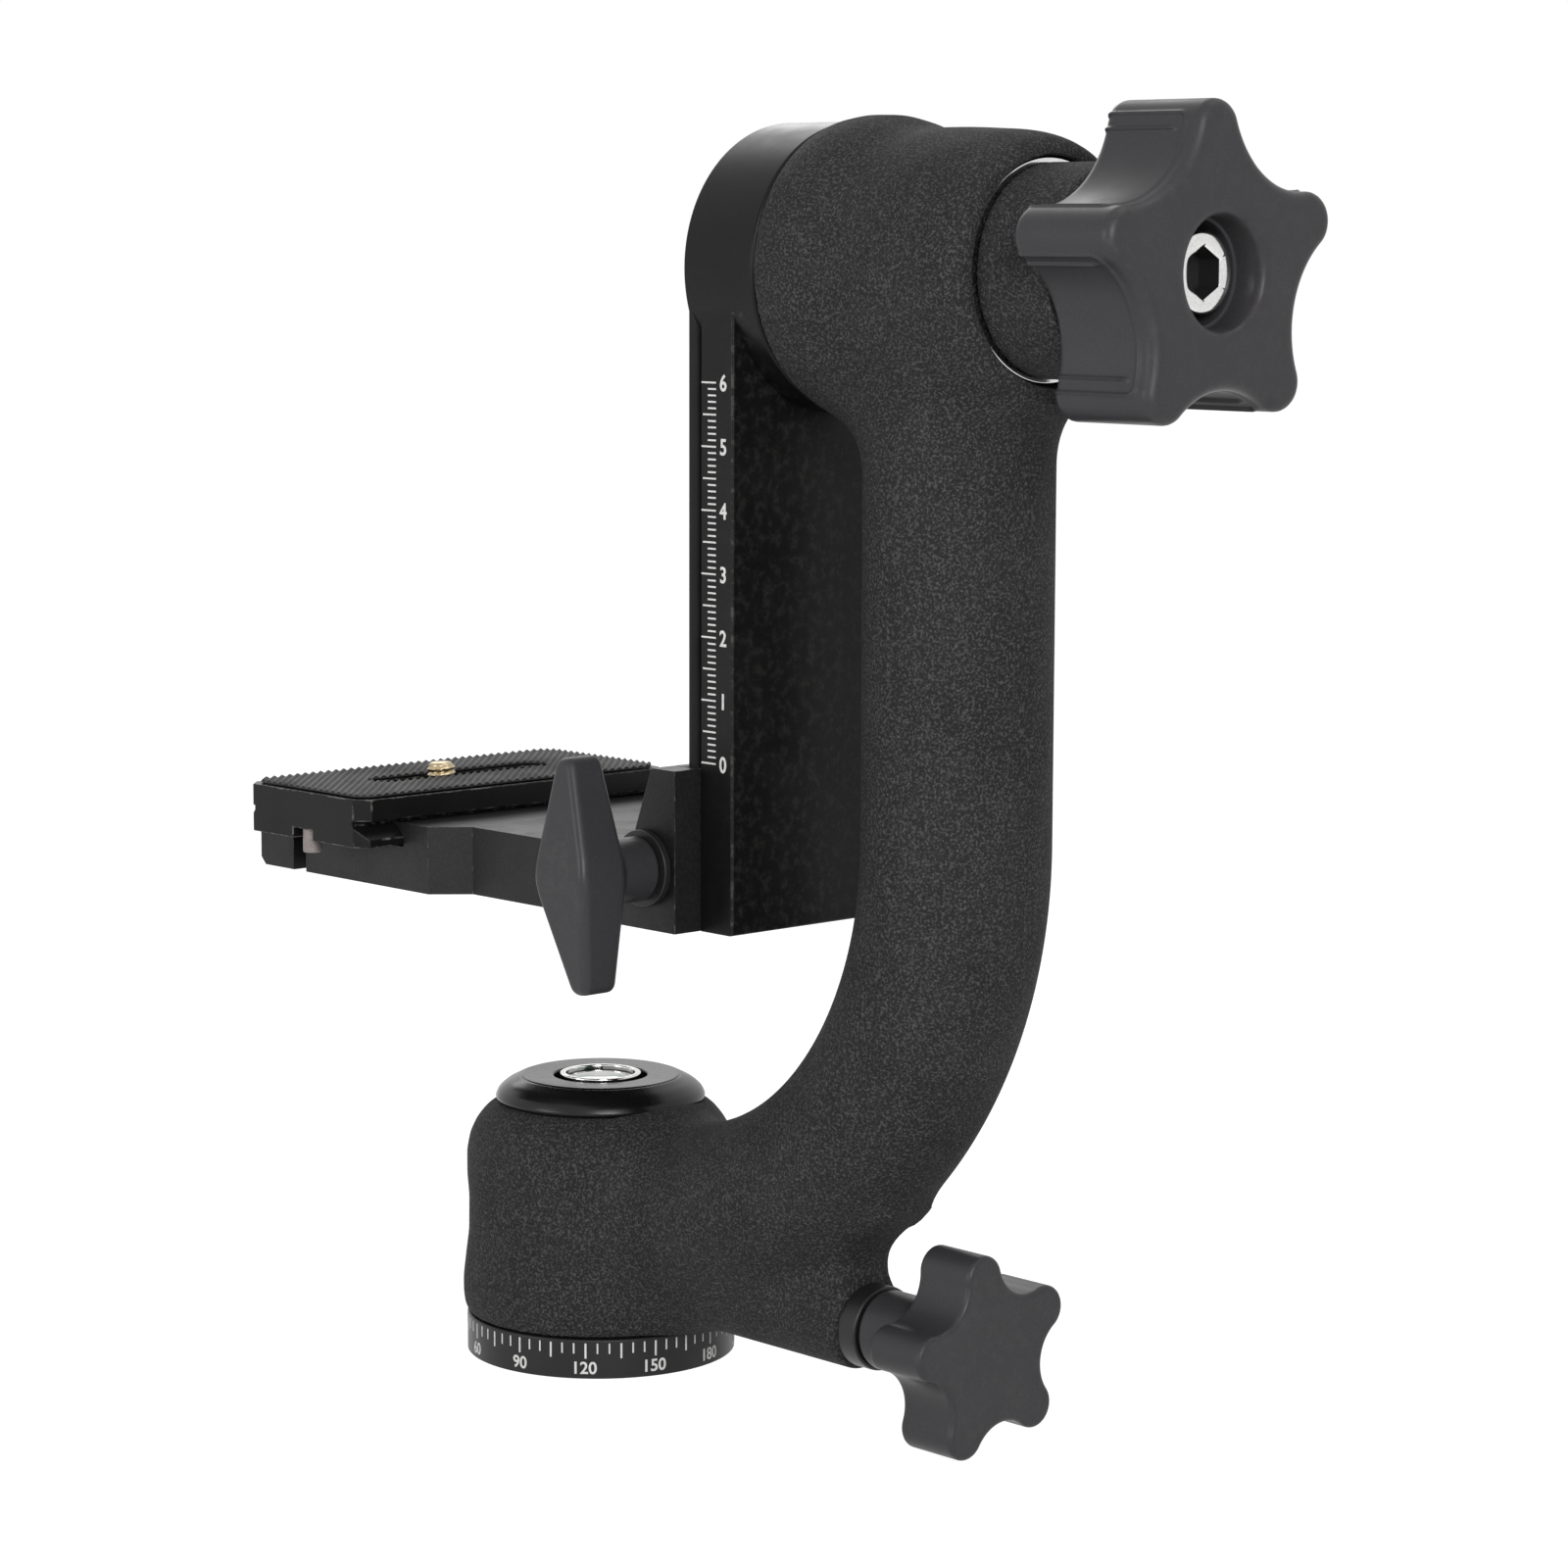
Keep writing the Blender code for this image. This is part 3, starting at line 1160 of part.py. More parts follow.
swing_screws = ["swing_screw_%d" % (i + 1) for i in range(swing_screw_count)]
carry(axis_guide("camera_screw_axis", UP, CAMERA_AXIS), "camera_screw", "camera_screw_washer")
carry(axis_guide("clamp_screw_axis", LEFT, CLAMP_AXIS), "clamp_knob", "clamp_screw", "clamp_jaw")
carry(axis_guide("height_lock_axis", FRONT, HEIGHT_AXIS), "height_lock_knob", "height_lock_stud",
      "height_washer", "rail_jaw")
carry(axis_guide("tilt_lock_axis", RIGHT, TILT_AXIS), "tilt_lock_knob", "tilt_knob_bush", "tilt_collar")
carry(axis_guide("tilt_axis", RIGHT, TILT_AXIS), "swing_arm", "tilt_shaft", "tilt_knob_screw", *swing_screws,
      "platform", "clamp_guide_pin_1", "clamp_guide_pin_2", "qr_plate", "plate_pad", "plate_stop_pin",
      "camera_screw_axis", "clamp_screw_axis", "height_lock_axis", "tilt_lock_axis")
carry(axis_guide("pan_lock_axis", RIGHT, PAN_LOCK_AXIS), "pan_lock_knob", "pan_lock_stud", "pan_brake_shoe")
carry(axis_guide("pan_axis", UP, Vector((0, 0, 0))), "main_arm", "pan_lower_bearing", "pan_upper_bearing",
      "level_cap", "level_bezel", "level_vial", "pan_lock_collar", "tilt_left_bearing", "tilt_right_bearing",
      "tilt_friction_washer", "tilt_end_ring", "pan_lock_axis", "tilt_axis")

for piece in parts.objects:
    smooth(piece)
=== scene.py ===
"""Looks of a side-mount gimbal head: its finished surfaces, materials, light and camera.

Shapes are worked out in millimetres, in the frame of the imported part, and turned into metres
when a mesh is made.  The arm lies in the plane y = 0, the panning axis is the z axis, and the
tilt axis runs along x at the top.
"""

import math

import bmesh
import bpy
import numpy as np
from mathutils import Matrix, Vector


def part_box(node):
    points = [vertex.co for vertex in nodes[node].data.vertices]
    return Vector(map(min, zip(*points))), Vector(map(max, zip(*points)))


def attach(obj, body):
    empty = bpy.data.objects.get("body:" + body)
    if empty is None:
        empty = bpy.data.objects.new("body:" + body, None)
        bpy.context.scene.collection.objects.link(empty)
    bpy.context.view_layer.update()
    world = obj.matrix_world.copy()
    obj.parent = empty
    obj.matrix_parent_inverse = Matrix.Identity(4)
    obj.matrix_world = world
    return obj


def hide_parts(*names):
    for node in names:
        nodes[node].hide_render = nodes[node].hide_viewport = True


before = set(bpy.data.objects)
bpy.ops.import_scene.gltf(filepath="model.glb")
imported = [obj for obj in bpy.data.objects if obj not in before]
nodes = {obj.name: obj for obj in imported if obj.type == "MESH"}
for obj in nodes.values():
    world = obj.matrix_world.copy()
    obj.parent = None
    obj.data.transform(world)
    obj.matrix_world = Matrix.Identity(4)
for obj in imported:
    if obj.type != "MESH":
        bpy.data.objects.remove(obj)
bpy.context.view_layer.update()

MM = 0.001
FULL_TURN = 2 * math.pi

# Room between two pieces, and how far a cutter stands out of what it cuts
GAP = 0.3
OVERRUN = 2.0

UP = (0.0, 0.0, 1.0)
DOWN = (0.0, 0.0, -1.0)
RIGHT = (1.0, 0.0, 0.0)
LEFT = (-1.0, 0.0, 0.0)
FRONT = (0.0, -1.0, 0.0)


# Places taken from the CAD


def span(node):
    """Lowest and highest corner of a CAD node, in millimetres."""
    low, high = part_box(node)
    return np.array(low) / MM, np.array(high) / MM


def middle(node):
    """The middle of a CAD node's box, in millimetres."""
    low, high = span(node)
    return (low + high) / 2


class Axis:
    """A line with two directions across it, as the CAD uses: points are (across, third, along)."""

    def __init__(self, direction, origin):
        along = np.array(direction)
        side = np.array(UP) if abs(along[2]) < 0.5 else np.array(RIGHT)
        across = side - along * (side @ along)
        self.basis = np.stack([across, np.cross(along, across), along])
        self.origin = np.array(origin, float)

    def place(self, points):
        """Points given along the axis's own three directions, moved into the shared frame."""
        return self.origin + points @ self.basis


tilt_height = middle("tilt_end_ring")[2]
pan_lock_height = middle("pan_lock_collar")[2]
wing_middle = middle("height_washer")
clamp_middle = middle("clamp_knob")
screw_middle = middle("camera_screw")

pan_axis = Axis(UP, (0, 0, 0))
tilt_axis = Axis(RIGHT, (0, 0, tilt_height))
pan_lock_axis = Axis(RIGHT, (0, 0, pan_lock_height))
height_axis = Axis(FRONT, (wing_middle[0], 0, wing_middle[2]))
clamp_axis = Axis(LEFT, (0, clamp_middle[1], clamp_middle[2]))
camera_axis = Axis(UP, (screw_middle[0], screw_middle[1], 0))


# Curves and meshes


def rounded(corners, radius, steps=5, closed=False):
    """A chain of points whose corners become parabolas.

    Each corner c is replaced by (1-t)^2 a + 2t(1-t) c + t^2 b, where a and b lie on its two
    sides at distance radius, or at 0.45 of a side that is shorter than that allows.
    """
    c = np.array(corners, float)
    before, after = np.roll(c, 1, 0), np.roll(c, -1, 0)
    reach = np.broadcast_to(np.array(radius, float), len(c)).copy()
    if not closed:
        reach[[0, -1]] = 0
    back, ahead = before - c, after - c
    long_back = np.maximum(np.linalg.norm(back, axis=1), 1e-9)
    long_ahead = np.maximum(np.linalg.norm(ahead, axis=1), 1e-9)
    reach = np.minimum(reach, 0.45 * np.minimum(long_back, long_ahead))
    if not closed:
        reach[[0, -1]] = 0
    a = c + back / long_back[:, None] * reach[:, None]
    b = c + ahead / long_ahead[:, None] * reach[:, None]
    t = np.linspace(0, 1, steps)[None, :, None]
    chain = (1 - t) ** 2 * a[:, None] + 2 * t * (1 - t) * c[:, None] + t ** 2 * b[:, None]
    chain = chain.reshape(-1, c.shape[1])
    keep = np.ones(len(chain), bool)
    keep[1:] = np.linalg.norm(np.diff(chain, axis=0), axis=1) > 1e-6
    return chain[keep]


def evenly(outline, count):
    """A closed outline as count points at equal distances along it."""
    ring = np.vstack([outline, outline[:1]])
    run = np.concatenate([[0], np.cumsum(np.linalg.norm(np.diff(ring, axis=0), axis=1))])
    at = np.linspace(0, run[-1], count, endpoint=False)
    return np.stack([np.interp(at, run, ring[:, k]) for k in (0, 1)], -1)


def outward(outline):
    """The outward direction at each point of a counter-clockwise closed outline."""
    along = np.roll(outline, -1, 0) - np.roll(outline, 1, 0)
    along /= np.linalg.norm(along, axis=1, keepdims=True)
    return np.stack([along[:, 1], -along[:, 0]], -1)


def mesh_object(name, points, faces):
    """A mesh object from points in millimetres and an array of faces with equal corner counts."""
    mesh = bpy.data.meshes.new(name)
    mesh.vertices.add(len(points))
    mesh.vertices.foreach_set("co", (points * MM).astype(np.float32).ravel())
    mesh.loops.add(faces.size)
    mesh.loops.foreach_set("vertex_index", faces.astype(np.int32).ravel())
    mesh.polygons.add(len(faces))
    mesh.polygons.foreach_set("loop_start", np.arange(0, faces.size, faces.shape[1], dtype=np.int32))
    mesh.update(calc_edges=True)
    item = bpy.data.objects.new(name, mesh)
    bpy.context.scene.collection.objects.link(item)
    return item


def tidy(item, close_below=0.002):
    """Merges points closer than close_below millimetres and turns every face outwards."""
    work = bmesh.new()
    work.from_mesh(item.data)
    bmesh.ops.remove_doubles(work, verts=work.verts, dist=close_below * MM)
    bmesh.ops.recalc_face_normals(work, faces=work.faces)
    work.to_mesh(item.data)
    work.free()
    return item


def skin(name, rows, closed_rows=False):
    """A surface over rows of points, each row closed on itself.

    rows[v, u] is the point at profile place v and turn place u.  Rows whose points coincide
    become poles when they are merged.
    """
    count, around = rows.shape[:2]
    v = np.arange(count if closed_rows else count - 1)[:, None]
    u = np.arange(around)[None, :]
    here, beside = v * around + u, v * around + (u + 1) % around
    above = ((v + 1) % count) * around + u
    far = ((v + 1) % count) * around + (u + 1) % around
    faces = np.stack([here, beside, far, above], -1).reshape(-1, 4)
    return tidy(mesh_object(name, rows.reshape(-1, 3), faces))


def turned(name, profile, axis, steps=128, closed=False):
    """A turned surface: the point (r, h) of the profile goes to (r cos a, r sin a, h) for every angle a."""
    angle = np.linspace(0, FULL_TURN, steps, endpoint=False)
    radius, height = np.array(profile, float).T
    rows = np.stack([radius[:, None] * np.cos(angle), radius[:, None] * np.sin(angle),
                     height[:, None] + 0 * angle], -1)
    return skin(name, axis.place(rows), closed)


def boxes(name, centres, halves, axes):
    """Many small blocks: each has a centre, half sizes, and three directions in the rows of axes."""
    sign = np.array([[x, y, z] for z in (-1, 1) for y in (-1, 1) for x in (-1, 1)], float)
    local = sign[None] * halves[:, None]
    points = centres[:, None] + np.einsum("nck,nkd->ncd", local, axes)
    one = np.array([[0, 2, 3, 1], [4, 5, 7, 6], [0, 1, 5, 4], [2, 6, 7, 3], [0, 4, 6, 2], [1, 3, 7, 5]])
    faces = (one[None] + 8 * np.arange(len(centres))[:, None, None]).reshape(-1, 4)
    return tidy(mesh_object(name, points.reshape(-1, 3), faces))


def applied(item):
    """The object with its modifiers worked into its mesh."""
    bpy.context.view_layer.update()
    mesh = bpy.data.meshes.new_from_object(item.evaluated_get(bpy.context.evaluated_depsgraph_get()))
    item.modifiers.clear()
    old, item.data = item.data, mesh
    bpy.data.meshes.remove(old)
    mesh.name = item.name
    return item


def combined(item, tools, operation):
    """The object after Booleans with the tools, which are removed."""
    for tool in tools:
        change = item.modifiers.new(tool.name, "BOOLEAN")
        change.operation = operation
        change.solver = "MANIFOLD"
        change.object = tool
    applied(item)
    for tool in tools:
        bpy.data.objects.remove(tool)
    return item


def carved(item, *tools):
    """The object with the tools cut out of it."""
    return combined(item, tools, "DIFFERENCE")


def shaded(item, sharp=30.0, weighted=True):
    """Smooth shading that breaks at edges sharper than an angle, led by the larger faces."""
    item.data.shade_smooth()
    item.data.set_sharp_from_angle(angle=math.radians(sharp))
    if weighted:
        item.modifiers.new("even shading", "WEIGHTED_NORMAL").keep_sharp = True
        applied(item)
    return item


def softened(node, width):
    """A copy of a CAD node with doubles merged, flat areas cleared and its edges rounded by width.

    The faces that the rounding makes get the attribute wear_and_highlight_edge = 1, and all others 0; on
    these cast and milled pieces it marks paint rubbed off their edges.
    """
    flat_below, sharp_above = math.radians(1.0), math.radians(26.0)
    item = bpy.data.objects.new(node + "_finished", nodes[node].data.copy())
    item.data.materials.clear()
    bpy.context.scene.collection.objects.link(item)
    work = bmesh.new()
    work.from_mesh(item.data)
    bmesh.ops.remove_doubles(work, verts=work.verts, dist=0.004 * MM)
    bmesh.ops.dissolve_limit(work, angle_limit=flat_below, verts=work.verts, edges=work.edges)
    bmesh.ops.recalc_face_normals(work, faces=work.faces)
    layer = work.faces.layers.float.new("wear_and_highlight_edge")
    sharp = [e for e in work.edges if e.is_manifold and e.calc_face_angle(0) > sharp_above]
    made = bmesh.ops.bevel(work, geom=sharp, offset=width * MM, segments=2, profile=0.5,
                           affect="EDGES", clamp_overlap=True, loop_slide=True)
    for face in made["faces"]:
        face[layer] = 1.0
    work.to_mesh(item.data)
    work.free()
    return item


def finished(item, material, body, node=None):
    """Gives a piece its material and says what it rides on and what it stands for."""
    item.data.materials.clear()
    item.data.materials.append(material)
    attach(item, body)
    if node:
        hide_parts(node)
    return item


# Shader groups


def new_group(name, inputs, outputs):
    """A shader node group with number inputs {name: default} and outputs {name: socket type}."""
    tree = bpy.data.node_groups.new(name, "ShaderNodeTree")
    for title, default in inputs.items():
        socket = tree.interface.new_socket(title, in_out="INPUT", socket_type="NodeSocketFloat")
        socket.default_value = default
    for title, kind in outputs.items():
        tree.interface.new_socket(title, in_out="OUTPUT", socket_type=kind)
    return tree, tree.nodes.new("NodeGroupInput"), tree.nodes.new("NodeGroupOutput")


def add(tree, kind, settings=None, **sockets):
    """A node with some of its settings and sockets; a socket value that is an output is linked."""
    made = tree.nodes.new("ShaderNode" + kind)
    for title, value in (settings or {}).items():
        setattr(made, title, value)
    for title, value in sockets.items():
        socket = made.inputs[int(title[1:])] if title[0] == "i" and title[1:].isdigit() else \
            made.inputs[title.replace("_", " ")]
        if isinstance(value, bpy.types.NodeSocket):
            tree.links.new(value, socket)
        else:
            socket.default_value = value
    return made


def ramp(tree, value, low, high, out_low=0.0, out_high=1.0):
    """value from low..high to out_low..out_high, smoothly."""
    made = add(tree, "MapRange", {"interpolation_type": "SMOOTHSTEP"}, Value=value, From_Min=low,
               From_Max=high, To_Min=out_low, To_Max=out_high)
    return made.outputs["Result"]


def maths(tree, operation, *values):
    """The output of a Math node; a value that is an output is linked."""
    made = tree.nodes.new("ShaderNodeMath")
    made.operation = operation
    for socket, value in zip(made.inputs, values):
        if isinstance(value, bpy.types.NodeSocket):
            tree.links.new(value, socket)
        else:
            socket.default_value = value
    return made.outputs["Value"]


def mixed(tree, share, one, other):
    """Colour one where share is 0 and the other where it is 1."""
    made = tree.nodes.new("ShaderNodeMix")
    made.data_type = "RGBA"
    for socket, value in ((made.inputs[0], share), (made.inputs[6], one), (made.inputs[7], other)):
        if isinstance(value, bpy.types.NodeSocket):
            tree.links.new(value, socket)
        else:
            socket.default_value = value if isinstance(value, (int, float)) else (*value, 1)
    return made.outputs[2]


def build_sand_group():
    """Fine sand under paint: round grains over a finer unevenness, lighter where that is high."""
    tree, given, made = new_group("sand_texture", {"Scale": 2300.0},
                                  {"Shade": "NodeSocketFloat", "Height": "NodeSocketFloat"})
    where = add(tree, "TexCoord").outputs["Object"]
    grains = add(tree, "TexVoronoi", {"feature": "SMOOTH_F1"}, Vector=where, Scale=given.outputs["Scale"],
                 Smoothness=0.6)
    coarse = add(tree, "TexNoise", Vector=where, Scale=maths(tree, "MULTIPLY", given.outputs["Scale"], 0.55),
                 Detail=3.0, Roughness=0.65)
    cloud = add(tree, "TexNoise", Vector=where, Scale=70.0, Detail=2.0)
    bump = maths(tree, "SUBTRACT", 1.0, grains.outputs["Distance"])
    height = maths(tree, "ADD", maths(tree, "MULTIPLY", bump, 0.55),
                   maths(tree, "MULTIPLY", coarse.outputs["Fac"], 0.9))
    speck = ramp(tree, coarse.outputs["Fac"], 0.44, 0.72)
    shade = maths(tree, "ADD", maths(tree, "MULTIPLY", speck, 0.8),
                  maths(tree, "MULTIPLY", maths(tree, "SUBTRACT", cloud.outputs["Fac"], 0.5), 0.12))
    tree.links.new(shade, made.inputs["Shade"])
    tree.links.new(height, made.inputs["Height"])
    return tree


def build_grain_group():
    """Close, even grain, as on moulded plastic, bead-blasted metal or a casting."""
    tree, given, made = new_group("fine_grain", {"Scale": 3000.0},
                                  {"Shade": "NodeSocketFloat", "Height": "NodeSocketFloat"})
    where = add(tree, "TexCoord").outputs["Object"]
    fine = add(tree, "TexNoise", Vector=where, Scale=given.outputs["Scale"], Detail=2.0, Roughness=0.6)
    broad = add(tree, "TexNoise", Vector=where, Scale=maths(tree, "MULTIPLY", given.outputs["Scale"], 0.03),
                Detail=3.0)
    shade = maths(tree, "ADD", maths(tree, "MULTIPLY", ramp(tree, fine.outputs["Fac"], 0.35, 0.7), 0.5),
                  maths(tree, "MULTIPLY", broad.outputs["Fac"], 0.5))
    tree.links.new(shade, made.inputs["Shade"])
    tree.links.new(fine.outputs["Fac"], made.inputs["Height"])
    return tree


def build_smudge_group():
    """Soft uneven gloss: large clouds crossed by thin handling scratches."""
    tree, given, made = new_group("smudges", {"Scratches": 0.3}, {"Mask": "NodeSocketFloat"})
    where = add(tree, "TexCoord").outputs["Object"]
    cloud = add(tree, "TexNoise", Vector=where, Scale=55.0, Detail=4.0, Roughness=0.6)
    turned_round = add(tree, "Mapping", Vector=where)
    turned_round.inputs["Rotation"].default_value = (0.6, 0.9, 0.3)
    turned_round.inputs["Scale"].default_value = (60.0, 1500.0, 60.0)
    lines = add(tree, "TexNoise", Vector=turned_round.outputs["Vector"], Scale=1.0, Detail=1.0)
    thin = ramp(tree, lines.outputs["Fac"], 0.66, 0.74)
    mask = maths(tree, "ADD", ramp(tree, cloud.outputs["Fac"], 0.35, 0.7),
                 maths(tree, "MULTIPLY", thin, given.outputs["Scratches"]))
    tree.links.new(mask, made.inputs["Mask"])
    return tree


def build_wear_group():
    """A mask in patches along the points that carry the attribute wear_and_highlight_edge: paint rubbed thin
    on the cast pieces and the rail, and a painted highlight on the knobs' front faces and rims.
    """
    tree, given, made = new_group("edge_wear_and_highlight", {"Amount": 0.5}, {"Mask": "NodeSocketFloat"})
    edge = add(tree, "Attribute", {"attribute_name": "wear_and_highlight_edge"})
    where = add(tree, "TexCoord").outputs["Object"]
    patch = add(tree, "TexNoise", Vector=where, Scale=420.0, Detail=4.0, Roughness=0.7)
    spots = ramp(tree, patch.outputs["Fac"], 0.46, 0.66)
    rubbed_and_lit = maths(tree, "MULTIPLY", edge.outputs["Fac"], spots)
    mask = maths(tree, "MULTIPLY", rubbed_and_lit, given.outputs["Amount"])
    tree.links.new(mask, made.inputs["Mask"])
    return tree


groups = {
    "sand": build_sand_group(),
    "grain": build_grain_group(),
    "smudge": build_smudge_group(),
    "wear_and_highlight": build_wear_group(),
}


def placed_group(tree, name, **values):
    """One of the groups, placed in a material with its own values."""
    made = tree.nodes.new("ShaderNodeGroup")
    made.node_tree = groups[name]
    for title, value in values.items():
        made.inputs[title].default_value = value
    return made


def finish(name, dark, light, rough, metallic=0.0, texture="grain", scale=3000.0, depth=0.01,
           scratches=0.3, wear_and_highlight=0.0, wear_and_highlight_colour=(0.20, 0.19, 0.18), specular=0.5):
    """A painted, moulded or metal surface.

    Colour runs from dark to light with the texture, towards wear_and_highlight_colour where the edge
    mask is: rubbed paint on the cast pieces and the rail, a painted highlight on the knobs; roughness
    runs between the two values of rough with the smudges; depth is the height of the texture in millimetres.
    """
    material = bpy.data.materials.new(name)
    material.use_nodes = True
    tree = material.node_tree
    surface = tree.nodes["Principled BSDF"]
    relief = placed_group(tree, texture, Scale=scale)
    smudge = placed_group(tree, "smudge", Scratches=scratches)
    colour = mixed(tree, relief.outputs["Shade"], dark, light)
    # Lighter towards wear_and_highlight_colour along the edge mask: rubbed paint, and on the knobs a painted
    # highlight.
    if wear_and_highlight:
        rub_and_lit = placed_group(tree, "wear_and_highlight", Amount=wear_and_highlight)
        colour = mixed(tree, rub_and_lit.outputs["Mask"], colour, wear_and_highlight_colour)
    tree.links.new(colour, surface.inputs["Base Color"])
    tree.links.new(ramp(tree, smudge.outputs["Mask"], 0.0, 1.2, *rough), surface.inputs["Roughness"])
    bump = add(tree, "Bump", Height=relief.outputs["Height"], Distance=depth * MM, Strength=1.0)
    tree.links.new(bump.outputs["Normal"], surface.inputs["Normal"])
    surface.inputs["Metallic"].default_value = metallic
    surface.inputs["Specular IOR Level"].default_value = specular
    return material


sand_paint = finish("sand_paint", (0.015, 0.0148, 0.0154), (0.100, 0.098, 0.102), (0.76, 0.90),
                    texture="sand", scale=3600.0, depth=0.17, scratches=0.1, specular=0.15)
rail_black = finish("rail_black", (0.004, 0.004, 0.004), (0.0072, 0.0070, 0.0070), (0.30, 0.42),
                    scale=2600.0, depth=0.005, scratches=0.4, wear_and_highlight=0.30, specular=0.14)
ring_black = finish("ring_black", (0.008, 0.008, 0.009), (0.014, 0.014, 0.015), (0.36, 0.50),
                    scale=3000.0, depth=0.006, wear_and_highlight=0.2, specular=0.25)
plate_black = finish("plate_black", (0.004, 0.004, 0.004), (0.008, 0.008, 0.008), (0.36, 0.52),
                     scale=2600.0, depth=0.010, wear_and_highlight=0.55, specular=0.14)
casting_black = finish("casting_black", (0.006, 0.006, 0.006), (0.017, 0.016, 0.017), (0.40, 0.56),
                       scale=1500.0, depth=0.03, wear_and_highlight=0.45, specular=0.22)
cap_gloss = finish("cap_gloss", (0.004, 0.004, 0.004), (0.007, 0.007, 0.007), (0.20, 0.32),
                   scale=2500.0, depth=0.003, scratches=0.6, specular=0.28)
# The knobs' edge colour (0.10, 0.095, 0.092) is a painted highlight that lightens their front faces and front
# rims.
knob_grey = finish("knob_grey", (0.030, 0.0285, 0.0308), (0.042, 0.0400, 0.0430), (0.36, 0.48),
                   scale=2400.0, depth=0.012, wear_and_highlight=0.15, wear_and_highlight_colour=(0.10, 0.095, 0.092), specular=0.20)
collar_black = finish("collar_black", (0.007, 0.007, 0.007), (0.013, 0.013, 0.013), (0.34, 0.48),
                      scale=2600.0, depth=0.008, wear_and_highlight=0.2, specular=0.3)
# Dark steel: the washer's own colour, and painted shade inside the large screw's socket.
dark_steel_and_socket_shade = finish("dark_steel_and_socket_shade", (0.010, 0.010, 0.010), (0.020, 0.020, 0.020), (0.35, 0.5),
                         scale=2600.0, depth=0.006, wear_and_highlight=0.2, specular=0.3)
bright_chrome = finish("bright_chrome", (0.62, 0.61, 0.60), (0.80, 0.80, 0.80), (0.08, 0.20),
                       metallic=1.0, scale=2600.0, depth=0.002, scratches=0.7)
plain_steel = finish("plain_steel", (0.34, 0.34, 0.34), (0.52, 0.52, 0.52), (0.24, 0.42),
                     metallic=1.0, scale=2600.0, depth=0.004, scratches=0.8)
warm_brass = finish("warm_brass", (0.34, 0.27, 0.16), (0.60, 0.50, 0.34), (0.18, 0.36),
                    metallic=1.0, scale=2600.0, depth=0.004, scratches=0.8)
grip_rubber = finish("grip_rubber", (0.012, 0.0115, 0.0115), (0.030, 0.029, 0.028), (0.62, 0.80),
                     scale=2600.0, depth=0.02, specular=0.3)
pin_grey = finish("pin_grey", (0.16, 0.13, 0.125), (0.27, 0.235, 0.225), (0.36, 0.5),
                  scale=2600.0, depth=0.01)
white_nylon = finish("white_nylon", (0.50, 0.49, 0.45), (0.66, 0.64, 0.60), (0.45, 0.6),
                     scale=1800.0, depth=0.02)
mark_paint = finish("mark_paint", (0.52, 0.52, 0.51), (0.78, 0.78, 0.76), (0.5, 0.7),
                    scale=5200.0, depth=0.01)


# The arm, one casting


def smoothed(stations, values, pitch, passes):
    """A line through the given points, sampled every pitch and averaged with its neighbours."""
    at = np.arange(stations[0], stations[-1] + pitch / 2, pitch)
    line = np.interp(at, stations, values)
    for _ in range(passes):
        line[1:-1] = 0.25 * line[:-2] + 0.5 * line[1:-1] + 0.25 * line[2:]
    return at, line


def turned_distance(radius, height, profile):
    """Distance to a turned solid: how far the radius is outside the profile, or past an end."""
    at, line = profile
    slope = np.interp(height, at, np.gradient(line, at))
    side = (radius - np.interp(height, at, line)) / np.sqrt(1 + slope ** 2)
    return np.maximum(side, np.maximum(at[0] - height, height - at[-1]))


def blended(one, other, reach):
    """Smooth union: the smaller distance, less reach h (1-h), where h goes from 0 to 1 across the meeting."""
    h = np.clip(0.5 + 0.5 * (other - one) / reach, 0, 1)
    return other + (one - other) * h - reach * h * (1 - h)


HUB_TOP = 53.6
HUB_BOTTOM = span("main_arm")[0][2]
hub_profile = smoothed(
    [HUB_BOTTOM, 10.0, 12.6, 15.6, 20.0, 25.5, 33.0, 38.0, 43.0, 46.5, 49.3, 51.6, 53.0, HUB_TOP],
    [28.2, 29.0, 29.3, 29.3, 28.8, 28.1, 28.0, 28.4, 28.4, 27.7, 26.4, 24.6, 22.9, 21.6], 0.1, 60)
TUBE_RADIUS = 18.5
UPRIGHT_X = 106.0
BEND_RADIUS = 86.0
BEND_X = UPRIGHT_X - BEND_RADIUS
ROOT_HEIGHT = 33.5
BEND_HEIGHT = ROOT_HEIGHT + BEND_RADIUS
HOUSING_LEFT, HOUSING_RIGHT = 78.7, 130.3
HOUSING_ROUND = 11.0
end_places = np.linspace(0, 1, 12)
housing_profile = smoothed(
    [HOUSING_LEFT, 80.0, 83.5, 88.5, 92.5, 96.5, 100.0, 106.0,
     *(HOUSING_RIGHT - HOUSING_ROUND + HOUSING_ROUND * end_places)],
    [28.2, 28.9, 29.4, 29.3, 28.4, 27.0, 26.3, 26.2,
     *(22.9 + 3.3 * np.sqrt(1 - end_places ** 2))], 0.1, 30)
BOSS_END = 81.7
boss_profile = smoothed([18.0, 29.4, 40.8, 80.9, BOSS_END], [11.4, 11.4, 9.3, 9.3, 8.5], 0.1, 10)
HEEL_CENTRE = (90.8, 32.5)
HEEL_RADIUS = 10.0
HEEL_HALF = 6.0
HEEL_TOP = 44.0
HEEL_START = 25.0
HEEL_EDGE = 4.0
TUBE_BLEND = 9.0
HOUSING_BLEND = 13.0
BOSS_BLEND = 7.0
HEEL_BLEND = 6.0


